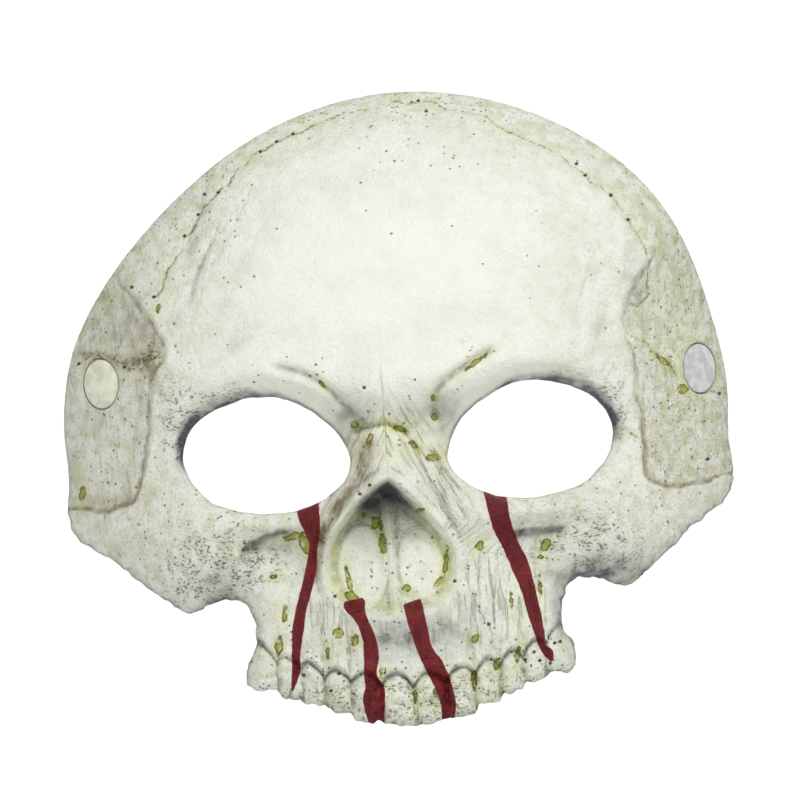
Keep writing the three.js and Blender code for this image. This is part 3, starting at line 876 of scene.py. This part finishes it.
class Grid:
    """An even grid over the front view, for what depends on a point's surroundings."""

    def __init__(self, step):
        self.step = step
        self.columns, self.rows = steps(*GRID_WIDTH, step), steps(*GRID_HEIGHT, step)
        self.x, self.z = np.meshgrid(self.columns, self.rows)
        self.field = fields(self.x, self.z)

    def at(self, values, x, z):
        """The grid's values at other points."""
        u, v = (x - self.columns[0]) / self.step, (z - self.rows[0]) / self.step
        i, j = u.astype(int), v.astype(int)
        low = values[j, i] + (u - i) * (values[j, i + 1] - values[j, i])
        high = values[j + 1, i] + (u - i) * (values[j + 1, i + 1] - values[j + 1, i])
        return low + (v - j) * (high - low)


def outer_skin():
    grid = Grid(OUTER_STEP)
    corners, faces = sheet(grid.columns, grid.rows, lambda x, z: skin_gap(x, z, POCKET_RADIUS))
    x, z = corners.T
    depth = relief(grid.x, grid.z, grid.field) + lumps(grid.x, grid.z, grid.field)
    hollow = grid.at(depth - softened(depth, HOLLOW_ROUNDS), x, z)
    amounts = paint(x, z, {name: grid.at(values, x, z) for name, values in grid.field.items()})
    amounts["hollow"] = np.clip(hollow / HOLLOW_DEPTH, -1, 1)
    y = FRONT + grid.at(depth, x, z) + PINHOLE_DEPTH * smooth(-0.1, 0.35, amounts["pinhole"])
    y = y + STAIN_DEPTH * groove(amounts["olive"], 0.4)
    y = y - BLOOD_HEIGHT * smooth(-0.3, 0.6, amounts["blood"])
    return np.column_stack([x, rest_on_rivets(x, z, y), z]), faces, amounts


def inner_skin():
    """The back of the casting: softer than the front, and as thick as the latex, less at its edges."""
    grid = Grid(INNER_STEP)
    corners, faces = sheet(grid.columns, grid.rows, lambda x, z: skin_gap(x, z, POST_HOLE))
    x, z = corners.T
    depth = FRONT + relief(grid.x, grid.z, grid.field)
    soft = softened(depth, BACK_ROUNDS)
    along_z, along_x = (grid.at(slope, x, z) for slope in np.gradient(soft, INNER_STEP))
    steep = np.sqrt(1 + along_x**2 + along_z**2)
    from_edge = np.minimum(grid.field["edge"], np.maximum(grid.field["eyes"], 0))
    at_edge = smooth(6, 0.3, grid.at(from_edge, x, z))
    front = grid.at(depth, x, z)
    y = np.maximum(grid.at(soft, x, z) + THICKNESS * steep, front + THINNEST * steep)
    y = rest_on_rivets(x, z, y + 0.22 * grain(x, z, 9, 221), THICKNESS)
    y = y + (front + EDGE_THICKNESS / steep - y) * at_edge
    inward = EDGE_THICKNESS * at_edge / steep
    return np.column_stack([x - along_x * inward, y, z - along_z * inward]), faces


def make_mesh(name, points, faces, material):
    """A smooth mesh object from points in millimetres."""
    mesh = bpy.data.meshes.new(name)
    mesh.from_pydata((np.asarray(points) * MM).tolist(), [], faces)
    mesh.polygons.foreach_set("use_smooth", [True] * len(mesh.polygons))
    mesh.materials.append(material)
    obj = bpy.data.objects.new(name, mesh)
    bpy.context.scene.collection.objects.link(obj)
    return obj


def give_amount(obj, name, values):
    attribute = obj.data.attributes.new(name, "FLOAT", "POINT")
    attribute.data.foreach_set("value", np.asarray(values, np.float32))


def pocket(points, loop):
    """The wall round a rivet's cap: all the points, the ring at the wall's foot, and its faces."""
    rivet = min(RIVETS.values(), key=lambda r: np.linalg.norm(r.centre - points[loop].mean(axis=0)))
    ring = list(range(len(points), len(points) + len(loop)))
    walls = [[b, a, low_a, low_b] for (a, b), (low_a, low_b) in zip(around(loop), around(ring))]
    return np.vstack([points, points[loop] - rivet.outward * POCKET_DEPTH]), ring, walls


# What the back of the skin gets: it is far from every painted mark.
UNPAINTED = {"blood": -9, "olive": -9, "pinhole": -9, "crack": 9}


def make_skin(material):
    front, faces, amounts = outer_skin()
    back, back_faces = inner_skin()
    points = np.vstack([front, back])
    loops = edge_loops(faces)
    back_loops = [[len(front) + corner for corner in loop] for loop in edge_loops(back_faces)]
    faces = faces + [[len(front) + corner for corner in face[::-1]] for face in back_faces]
    for loop in loops:
        middle = points[loop].mean(axis=0)
        behind = min(back_loops, key=lambda ring: np.linalg.norm(points[ring].mean(axis=0) - middle))
        if any(np.linalg.norm(rivet.centre - middle) < POCKET_RADIUS for rivet in RIVETS.values()):
            points, loop, walls = pocket(points, loop)
            faces = faces + walls
        faces = faces + zip_loops(points, loop, behind)
    skin = make_mesh("latex_skin", points, faces, material)
    hidden = len(points) - len(front)
    for name, values in amounts.items():
        give_amount(skin, name, np.concatenate([values, np.full(hidden, UNPAINTED.get(name, 0))]))
    give_amount(skin, "raw", np.arange(len(points)) >= len(front))
    return skin


# ================================================ materials
def srgb(*levels):
    """A colour given as 0 to 255 screen levels, as the linear values that Blender works in."""
    share = np.array(levels) / 255
    return [*np.where(share < 0.04045, share / 12.92, ((share + 0.055) / 1.055) ** 2.4), 1]


class Nodes:
    """The node tree of a material or a world, with a short call for each kind of node used."""

    def __init__(self, owner):
        owner.use_nodes = True
        self.owner = owner
        self.tree = owner.node_tree

    def node(self, kind, **settings):
        made = self.tree.nodes.new(kind)
        for name, value in settings.items():
            setattr(made, name, value)
        return made

    def feed(self, socket, value):
        if isinstance(value, bpy.types.NodeSocket):
            self.tree.links.new(value, socket)
        else:
            socket.default_value = value

    def math(self, operation, *values):
        made = self.node("ShaderNodeMath", operation=operation)
        for socket, value in zip(made.inputs, values):
            self.feed(socket, value)
        return made.outputs[0]


class Shader(Nodes):
    def __init__(self, name, roughness):
        super().__init__(bpy.data.materials.new(name))
        self.surface = self.tree.nodes["Principled BSDF"]
        self.surface.inputs["Roughness"].default_value = roughness
        self.place = self.node("ShaderNodeTexCoord").outputs["Object"]

    def times(self, *values):
        return self.math("MULTIPLY", *values)

    def amount(self, name):
        return self.node("ShaderNodeAttribute", attribute_name=name).outputs["Fac"]

    def noise(self, size, detail=3, place=None):
        """Noise from about 0.3 to 0.7 with lumps of this size, in millimetres."""
        made = self.node("ShaderNodeTexNoise")
        self.feed(made.inputs["Vector"], place or self.place)
        made.inputs["Scale"].default_value = 1 / (size * MM)
        made.inputs["Detail"].default_value = detail
        return made.outputs["Fac"]

    def cells(self, size):
        """Cells of this size: the distance from each one's middle, and a random level for each."""
        made = self.node("ShaderNodeTexVoronoi")
        self.feed(made.inputs["Vector"], self.place)
        made.inputs["Scale"].default_value = 1 / (size * MM)
        levels = self.node("ShaderNodeSeparateColor")
        self.feed(levels.inputs[0], made.outputs["Color"])
        return made.outputs["Distance"], levels.outputs[0]

    def rise(self, low, high, value):
        """0 below low, 1 above high, and smooth in between; it falls instead where low is above high."""
        made = self.node("ShaderNodeMapRange", interpolation_type="SMOOTHSTEP")
        self.feed(made.inputs["Value"], value)
        made.inputs["From Min"].default_value = min(low, high)
        made.inputs["From Max"].default_value = max(low, high)
        made.inputs["To Min"].default_value = float(low > high)
        made.inputs["To Max"].default_value = float(low < high)
        return made.outputs["Result"]

    def mix(self, share, first, second):
        made = self.node("ShaderNodeMixRGB")
        for socket, value in zip(made.inputs, (share, first, second)):
            self.feed(socket, value)
        return made.outputs["Color"]

    def finish(self, colour, height, depth):
        """Sets the colour, and bumps from a height of about 0 to 1 that stands for this depth."""
        self.feed(self.surface.inputs["Base Color"], colour)
        made = self.node("ShaderNodeBump")
        made.inputs["Distance"].default_value = depth * MM
        self.feed(made.inputs["Height"], height)
        self.feed(self.surface.inputs["Normal"], made.outputs["Normal"])
        return self.owner


BONE, CHALK = srgb(238, 239, 230), srgb(222, 224, 209)
RAW_LATEX, RAW_SHADE = srgb(232, 223, 200), srgb(224, 214, 188)
# Thin washes of paint: name, colour, strength, and the size of their patches in millimetres.
WASHES = [
    ("halo", srgb(212, 220, 146), 1.3, 5),
    ("umber", srgb(150, 138, 112), 1.5, 3),
    # The blue-grey wash is partly painted shade.
    ("slate_and_shade", srgb(84, 88, 94), 1.6, 4),
]
# The darker colour is dirt, and painted shade where it fills the hollows.
GRIME, DIRT_AND_SHADE = srgb(196, 199, 160), srgb(120, 120, 88)
OLIVE, OLIVE_EDGE = srgb(160, 162, 72), srgb(96, 96, 44)
CRACK, PIN, PIT = srgb(120, 116, 70), srgb(48, 48, 40), srgb(92, 94, 80)
BLOOD, THIN_BLOOD = srgb(98, 12, 18), srgb(126, 20, 28)
# Scattered dots: the amount they follow, their spacing in millimetres, how many show, and their colour.
DOTS = [("grime", 1.7, 0.12, DIRT_AND_SHADE), ("speckle", 2.1, 0.45, OLIVE_EDGE), ("pores", 1.5, 0.35, PIN)]
PIT_STRETCH = (0.7, 1, 1.2)


def bone_paint(shader):
    """Chalky white with grime, dirt and painted shade in its hollows, and thin washes; also the amount
    of grime.
    """
    chalky = shader.times(shader.rise(0.42, 0.64, shader.noise(15, 5)), 0.4)
    colour = shader.mix(chalky, BONE, CHALK)
    grime = shader.amount("grime")
    patches = shader.math("MULTIPLY_ADD", shader.rise(0.4, 0.64, shader.noise(4, 9)), 0.6, 0.12)
    colour = shader.mix(shader.times(grime, patches), colour, GRIME)
    worn = shader.rise(0.3, 0.6, shader.noise(3, 6))
    # Painted shade, with dirt, in the hollows.
    hollow = shader.times(shader.rise(0.15, 1.2, shader.amount("hollow")), worn)
    grains = shader.times(shader.rise(0.56, 0.68, shader.noise(1.1, 6)), grime)
    dirt_and_hollow_shade = shader.math("MULTIPLY_ADD", hollow, 0.6, shader.times(grains, 0.42))
    colour = shader.mix(dirt_and_hollow_shade, colour, DIRT_AND_SHADE)
    for name, wash, strength, size in WASHES:
        patchy = shader.times(shader.noise(size), strength)
        colour = shader.mix(shader.times(shader.amount(name), patchy), colour, wash)
    return colour, grime


def fibres(shader, colour):
    """Adds dirty lines along the strands; also where they are."""
    flow = shader.node("ShaderNodeCombineXYZ")
    shader.feed(flow.inputs["X"], shader.amount("across"))
    shader.feed(flow.inputs["Y"], shader.times(shader.amount("along"), 0.12))
    lines = shader.rise(0.54, 0.66, shader.noise(1.3, 4, flow.outputs[0]))
    streaky = shader.times(lines, shader.amount("strands"))
    return shader.mix(shader.times(streaky, 0.22), colour, DIRT_AND_SHADE), streaky


def stains_and_cracks(shader, colour, wobble):
    olive = shader.math("ADD", shader.amount("olive"), wobble)
    stain = shader.mix(shader.rise(0.1, 0.6, olive), OLIVE_EDGE, OLIVE)
    worn = shader.rise(0.25, 0.5, shader.noise(2))
    colour = shader.mix(shader.times(shader.rise(-0.15, 0.15, olive), worn), colour, stain)
    crack = shader.math("ADD", shader.amount("crack"), wobble)
    broken = shader.times(shader.rise(0.38, 0.5, shader.noise(5)), 0.8)
    shown = shader.times(shader.rise(0.42, 0.05, crack), broken)
    return shader.mix(shown, colour, CRACK)


def dots_and_pits(shader, colour):
    """Adds specks, pores, clustered pits and pinholes; also a list of those that are sunk."""
    sunk = []
    for name, size, chance, dot in DOTS:
        distance, cell_level = shader.cells(size)
        share = shader.times(shader.amount(name), chance)
        chosen = shader.math("LESS_THAN", cell_level, share)
        sunk.append(shader.times(shader.rise(0.24, 0.1, distance), chosen))
        colour = shader.mix(shader.times(sunk[-1], 0.7), colour, dot)
    stretched = shader.node("ShaderNodeVectorMath", operation="MULTIPLY")
    shader.feed(stretched.inputs[0], shader.place)
    stretched.inputs[1].default_value = PIT_STRETCH
    pits = shader.rise(0.55, 0.66, shader.noise(0.8, 5, stretched.outputs[0]))
    patchy = shader.rise(0.38, 0.56, shader.noise(4, 4))
    clusters = shader.times(shader.amount("porous"), patchy)
    sunk.append(shader.times(pits, shader.rise(0.05, 0.5, clusters)))
    colour = shader.mix(shader.times(sunk[-1], 0.6), colour, PIT)
    return shader.mix(shader.rise(-0.1, 0.3, shader.amount("pinhole")), colour, PIN), sunk


def blood_paint(shader, colour, wobble):
    """Adds the streaks, darker where the paint is thick; also how much blood there is."""
    within = shader.math("MULTIPLY_ADD", wobble, 0.3, shader.amount("blood"))
    blood = shader.rise(-0.08, 0.08, within)
    patchy = shader.rise(0.25, 0.55, shader.noise(4))
    thick = shader.times(shader.rise(0.05, 0.5, within), patchy)
    return shader.mix(blood, colour, shader.mix(thick, THIN_BLOOD, BLOOD)), blood


def make_latex():
    """The painted front, and raw latex behind."""
    shader = Shader("latex", 0.6)
    shader.surface.inputs["Specular IOR Level"].default_value = 0.3
    wobble = shader.math("MULTIPLY_ADD", shader.noise(1.4), 0.8, -0.4)
    colour, grime = bone_paint(shader)
    colour, streaky = fibres(shader, colour)
    colour, sunk = dots_and_pits(shader, stains_and_cracks(shader, colour, wobble))
    colour, blood = blood_paint(shader, colour, wobble)
    raw = shader.mix(shader.rise(0.4, 0.62, shader.noise(9, 6)), RAW_LATEX, RAW_SHADE)
    colour = shader.mix(shader.amount("raw"), colour, raw)
    shader.feed(shader.surface.inputs["Roughness"], shader.math("MULTIPLY_ADD", blood, -0.25, 0.6))
    height = shader.times(shader.noise(0.9, 5), shader.math("MULTIPLY_ADD", grime, 0.7, 0.6))
    for lowered in (*sunk, streaky):
        height = shader.math("MULTIPLY_ADD", lowered, -0.9, height)
    return shader.finish(colour, height, 0.85)


def make_plastic(name, first, second, roughness):
    shader = Shader(name, roughness)
    colour = shader.mix(shader.rise(0.4, 0.62, shader.noise(3, 9)), first, second)
    return shader.finish(colour, shader.noise(1.2, 4), 0.12)


def make_woven(name, thread, shade, pitch_along, pitch_across, depth):
    """Cloth whose threads cross at these pitches, in the millimetres of the amounts along and across."""
    shader = Shader(name, 0.85)
    waves = []
    for direction, pitch in (("along", pitch_along), ("across", pitch_across)):
        phase = shader.times(shader.amount(direction), 2 * math.pi / pitch)
        waves.append(shader.math("SINE", phase))
    crossing = shader.math("MULTIPLY_ADD", shader.times(*waves), 0.5, 0.5)
    fuzzy = shader.math("MULTIPLY_ADD", shader.noise(0.4, 4), 0.6, crossing)
    colour = shader.mix(shader.rise(1.1, 0.5, fuzzy), thread, shade)
    return shader.finish(colour, fuzzy, depth)


# ================================================ rivets, washers and gauze patches
SIDES = 72
CAP_RADIUS = 7.4
CAP_CROWN_RADIUS = 6.7
# Profiles give radii and heights above the skin.
CAP_PROFILE = [
    (7.1, 0.1), (7.3, -0.02), (CAP_RADIUS, -0.2), (CAP_RADIUS, -0.95), (7.25, -1.1),
    (2.35, -1.1), (2.2, -1.25), (2.2, -8.15), (1.9, -8.4), (0, -8.5),
]
WASHER_PROFILE = [
    (2.6, -6.75), (2.8, -6.55), (6.6, -6.55), (6.9, -6.7), (7, -6.95), (7, -7.9), (6.85, -8.2),
    (6.5, -8.35), (5.6, -8.35), (5.3, -8.15), (3.9, -8.15), (3.6, -8.35), (2.8, -8.35), (2.6, -8.15),
]
PATCH_RADIUS = 11.4
PATCH_TOP, PATCH_FOOT = -3.0, -3.4


def turned(profile, closed):
    """Points and faces of a solid turned about Z, closed on itself or ending on the axis."""
    rings = profile if closed else profile[1:-1]
    angles = np.arange(SIDES) * 2 * np.pi / SIDES
    points = [(r * math.cos(a), r * math.sin(a), h) for r, h in rings for a in angles]
    faces = []
    for ring in range(len(rings) if closed else len(rings) - 1):
        lower = (ring + 1) % len(rings)
        for i in range(SIDES):
            j = (i + 1) % SIDES
            faces.append([ring * SIDES + i, lower * SIDES + i, lower * SIDES + j, ring * SIDES + j])
    if not closed:
        top, foot = len(points), len(points) + 1
        points += [(0, 0, profile[0][1]), (0, 0, profile[-1][1])]
        last = (len(rings) - 1) * SIDES
        for i in range(SIDES):
            j = (i + 1) % SIDES
            faces += [[top, i, j], [foot, last + j, last + i]]
    return np.array(points), faces


def make_cap(side, material):
    radii = np.linspace(0, CAP_CROWN_RADIUS, 12)
    crown = [(r, CAP_DOME * (1 - (r / CAP_RADIUS) ** 2.4)) for r in radii]
    points, faces = turned(crown + CAP_PROFILE, closed=False)
    return make_mesh("rivet_cap_" + side + "_turned", RIVETS[side].placed(points), faces, material)


def make_washer(side, material):
    points, faces = turned(WASHER_PROFILE, closed=True)
    return make_mesh("rivet_washer_" + side + "_turned", RIVETS[side].placed(points), faces, material)


def make_patch(side, material):
    """A disc of gauze, cut by hand, with a frayed edge."""
    radii = np.linspace(POST_HOLE, PATCH_RADIUS, 18)
    profile = [(r, PATCH_TOP) for r in radii] + [(r, PATCH_FOOT) for r in radii[::-1]]
    points, faces = turned(profile, closed=True)
    x, y = points[:, 0], points[:, 1]
    away = np.hypot(x, y)
    angle = np.arctan2(y, x)
    frayed = 0.5 * grain(3 * np.cos(angle), 3 * np.sin(angle), 1, 301) + 0.3 * np.sin(61 * angle)
    stretch = 1 + smooth(8, PATCH_RADIUS, away) * frayed / PATCH_RADIUS
    flat = points * np.column_stack([stretch, stretch, np.ones(len(points))])
    patch = make_mesh("gauze_patch_" + side, RIVETS[side].placed(flat), faces, material)
    give_amount(patch, "along", flat[:, 0])
    give_amount(patch, "across", flat[:, 1])
    return patch


# ================================================ the elastic strap
JOINT = frame["joints"][0]
HINGE_AT = np.array(JOINT["pos_m"]) / MM
HINGE_X = np.array(JOINT["axis"])
HINGE_Y = np.array([0, 1, 0])
HINGE_Z = np.cross(HINGE_X, HINGE_Y)
BAND_WIDTH = 15
BAND_THICKNESS = 1.05
RIB_PITCH, RIB_HEIGHT = 1.25, 0.14
# The band's long edges thin out to this share of its thickness.
SELVEDGE_WIDTH, SELVEDGE_SHARE = 0.7, 0.45
END_TRIM = 0.6
LAYER_GAP = 1.26
LAYERS_MIDDLE = -5
# Places rearward of a rivet: the fold, the end of the flat part, and what the turn after it bends to.
FOLD_AT, FLAT_TO, BEND_AT = -8.5, 7.6, 12.5
# Places behind the hinge: the end of the tail, the handle of the turn, and where the band tilts upward.
TAIL_TO = -2
TURN_HANDLE = -5
TILT_FROM, TILT_TO = -8, 12
REST_TILT = math.radians(18)
LOOP_HALF_WIDTH, LOOP_REACH, LOOP_SQUARENESS = 95, 66, 2.3
BAND_SPACING = 1


def plan_normals(line):
    along = np.gradient(line, axis=0)
    along /= np.hypot(*along.T)[:, None]
    return np.column_stack([along[:, 1], -along[:, 0]])


def turn_and_loop(side, leave, bend):
    """The band's turn away from its rivet, and its loop to the middle of the back."""
    width = side * LOOP_HALF_WIDTH
    t = np.linspace(0, 1, 30)[:, None]
    turn = (1 - t) ** 3 * leave + 3 * (1 - t) ** 2 * t * bend
    turn = turn + 3 * (1 - t) * t**2 * np.array([width, TURN_HANDLE]) + t**3 * np.array([width, 0])
    angles = np.linspace(0, np.pi / 2, 120)[1:]
    return np.vstack([turn, squared_oval(width, LOOP_REACH, LOOP_SQUARENESS, angles)])


def half_band(rivet):
    """The band's line, seen along the hinge's Z, from its tail to the middle of the back, and how far
    along it the middle of the fold lies."""
    axes = np.column_stack([HINGE_X, HINGE_Y])
    centre = (rivet.centre - HINGE_AT) @ axes
    rearward, outward = rivet.rearward @ axes, rivet.outward @ axes

    def beside(along, height):
        return centre + along * rearward + (LAYERS_MIDDLE + height) * outward

    outer = LAYER_GAP / 2
    loop = turn_and_loop(np.sign(centre[0]), beside(FLAT_TO, outer), beside(BEND_AT, outer))
    main = respaced(np.vstack([beside(FOLD_AT, outer), loop]), BAND_SPACING)
    inward = -np.sign(plan_normals(main)[0] @ outward)
    tail = (main + inward * LAYER_GAP * plan_normals(main))[main[:, 1] < TAIL_TO][::-1]
    turns = np.linspace(0, np.pi, 9)[1:-1]
    fold = [beside(FOLD_AT - outer * math.sin(a), -outer * math.cos(a)) for a in turns]
    return np.vstack([tail, fold, main]), lengths_along(tail)[-1] + np.pi / 2 * outer


def band_line():
    """The whole band's line, and how far along it the rivets go through."""
    right, fold_right = half_band(RIVETS["right"])
    left, fold_left = half_band(RIVETS["left"])
    line = np.vstack([right, left[-2::-1]])
    to_hole = np.pi / 2 * LAYER_GAP / 2 - FOLD_AT
    total = lengths_along(line)[-1]
    return line, [fold + way * to_hole for fold in (fold_right, total - fold_left) for way in (-1, 1)]


def band_place(plan, width):
    """Points in the mask's frame, from places in plan and across the band; it tilts past the hinge."""
    reach = np.linspace(-80, 80, 3201)
    tilts = REST_TILT * smooth(TILT_FROM, TILT_TO, reach)
    step = reach[1] - reach[0]
    ahead = np.cumsum(np.cos(tilts)) * step
    ahead += TILT_FROM - np.interp(TILT_FROM, reach, ahead)
    rise = np.cumsum(np.sin(tilts)) * step
    tilt = np.interp(plan[:, 1], reach, tilts)
    y = np.interp(plan[:, 1], reach, ahead) - width * np.sin(tilt)
    z = np.interp(plan[:, 1], reach, rise) + width * np.cos(tilt)
    return HINGE_AT + np.outer(plan[:, 0], HINGE_X) + np.outer(y, HINGE_Y) + np.outer(z, HINGE_Z)


def make_strap(material):
    """Ribbed elastic, each end folded under and held by its rivet."""
    line, holes = band_line()
    travelled = lengths_along(line)

    def gap(s, w):
        through = [POST_HOLE - np.hypot(s - hole, w) for hole in holes]
        past_ends = np.abs(s - travelled[-1] / 2) - travelled[-1] / 2 + END_TRIM
        return np.maximum.reduce([np.abs(w) - BAND_WIDTH / 2, past_ends, *through])

    half = BAND_WIDTH / 2 + 0.3
    corners, faces = sheet(travelled, steps(-half, half, RIB_PITCH / 4), gap)
    s, w = corners.T
    thickness = BAND_THICKNESS + RIB_HEIGHT * np.cos(2 * np.pi * w / RIB_PITCH)
    inner = smooth(0, SELVEDGE_WIDTH, BAND_WIDTH / 2 - np.abs(w))
    thickness = thickness * (SELVEDGE_SHARE + (1 - SELVEDGE_SHARE) * inner)
    middle = np.column_stack([np.interp(s, travelled, axis) for axis in line.T])
    normal = np.column_stack([np.interp(s, travelled, axis) for axis in plan_normals(line).T])
    offset = normal * thickness[:, None] / 2
    count = len(corners)
    solid = faces + [[corner + count for corner in face[::-1]] for face in faces]
    for loop in edge_loops(faces):
        solid += [[b, a, a + count, b + count] for a, b in around(loop)]
    points = np.vstack([band_place(middle + offset, w), band_place(middle - offset, w)])
    strap = make_mesh("elastic_band", points, solid, material)
    give_amount(strap, "along", np.tile(s, 2))
    give_amount(strap, "across", np.tile(w, 2))
    return strap


# ================================================ the assembly
# Plastics: their name, two colours and roughness.
PAINTED_CAP = ("painted_cap", srgb(226, 229, 208), srgb(206, 209, 184), 0.5)
BARE_CAP = ("bare_cap", srgb(181, 184, 183), srgb(205, 207, 202), 0.4)
WASHER_PLASTIC = ("washer_plastic", srgb(232, 233, 235), srgb(226, 227, 230), 0.3)
# Cloths: their name, two colours, the threads' pitch each way and the depth between them.
GAUZE = ("gauze", srgb(226, 221, 206), srgb(170, 163, 146), 1.1, 1.1, 0.15)
ELASTIC = ("elastic", srgb(238, 238, 232), srgb(196, 196, 190), 0.9, RIB_PITCH, 0.1)


def assemble():
    skin = make_skin(make_latex())
    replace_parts(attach(skin, "root"), "latex_shell")
    cap_paints = {"right": make_plastic(*PAINTED_CAP), "left": make_plastic(*BARE_CAP)}
    washer_plastic = make_plastic(*WASHER_PLASTIC)
    gauze = make_woven(*GAUZE)
    for side in RIVETS:
        pieces = {
            "rivet_cap_": (make_cap(side, cap_paints[side]), "cap_plastic"),
            "rivet_washer_": (make_washer(side, washer_plastic), "washer_plastic"),
            "backing_patch_": (make_patch(side, gauze), "gauze"),
        }
        for node, (piece, slot) in pieces.items():
            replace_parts(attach(piece, "root"), node + side)
    strap = make_strap(make_woven(*ELASTIC))
    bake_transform(strap)
    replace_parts(strap, "elastic_strap", "strap_end_right", "strap_end_left")


# ================================================ floor, lights and camera
FLOOR_Z = -0.23
FLOOR_RADIUS = 2
WHITE_BELOW, DIM_ABOVE = 0.15, 0.35
WHITE_SKY, DIM_SKY = 1.05, 0.45
LIT_POINT = (0, 0.03, 0.01)
# Lights: name, place, size and power.
LIGHTS = [
    ("key", (0.65, -1.2, 1.6), 0.4, 20),
    ("fill", (-1.4, -1.6, 0.5), 1.2, 4),
    ("back", (0.3, 1.8, 1.4), 1.2, 10),
]
VIEW_DISTANCE = 4
VIEW_WIDTH = 0.24
VIEW_CENTRE = (0.0015, 0.0142)
VIEW_ROLL = math.radians(3.66)
SENSOR = 36


def make_floor():
    bpy.ops.mesh.primitive_circle_add(vertices=128, radius=FLOOR_RADIUS, fill_type="NGON")
    floor = bpy.context.object
    floor.name = "floor"
    floor.location.z = FLOOR_Z
    shader = Shader("floor", 0.9)
    shader.surface.inputs["Base Color"].default_value = srgb(240, 240, 240)
    floor.data.materials.append(shader.owner)


def make_light(name, place, size, power):
    light = bpy.data.lights.new(name, "AREA")
    light.size = size
    light.energy = power
    obj = bpy.data.objects.new(name, light)
    obj.location = place
    aim = Vector(LIT_POINT) - Vector(place)
    obj.rotation_euler = aim.to_track_quat("-Z", "Y").to_euler()
    bpy.context.scene.collection.objects.link(obj)


def make_sky():
    """White all round at eye level and dimmer overhead and below."""
    sky = Nodes(bpy.data.worlds.new("studio"))
    direction = sky.node("ShaderNodeSeparateXYZ")
    sky.feed(direction.inputs[0], sky.node("ShaderNodeTexCoord").outputs["Generated"])
    fade = sky.node("ShaderNodeMapRange")
    sky.feed(fade.inputs["Value"], sky.math("ABSOLUTE", direction.outputs["Z"]))
    sky.feed(fade.inputs["From Min"], WHITE_BELOW)
    sky.feed(fade.inputs["From Max"], DIM_ABOVE)
    sky.feed(fade.inputs["To Min"], WHITE_SKY)
    sky.feed(fade.inputs["To Max"], DIM_SKY)
    background = sky.tree.nodes["Background"]
    sky.feed(background.inputs["Strength"], fade.outputs["Result"])
    sky.feed(background.inputs["Color"], (1, 1, 1, 1))
    bpy.context.scene.world = sky.owner


def light_scene():
    make_sky()
    bpy.context.scene.view_settings.view_transform = "Standard"
    for name, place, size, power in LIGHTS:
        make_light(name, place, size, power)


def place_camera():
    camera = bpy.data.cameras.new("camera")
    camera.sensor_width = SENSOR
    camera.lens = SENSOR * VIEW_DISTANCE / VIEW_WIDTH
    camera.clip_end = 100
    obj = bpy.data.objects.new("camera", camera)
    place = Matrix.Translation((VIEW_CENTRE[0], -VIEW_DISTANCE, VIEW_CENTRE[1]))
    obj.matrix_world = place @ Matrix.Rotation(VIEW_ROLL, 4, "Y") @ Matrix.Rotation(math.pi / 2, 4, "X")
    bpy.context.scene.collection.objects.link(obj)
    bpy.context.scene.camera = obj


assemble()
make_floor()
light_scene()
place_camera()
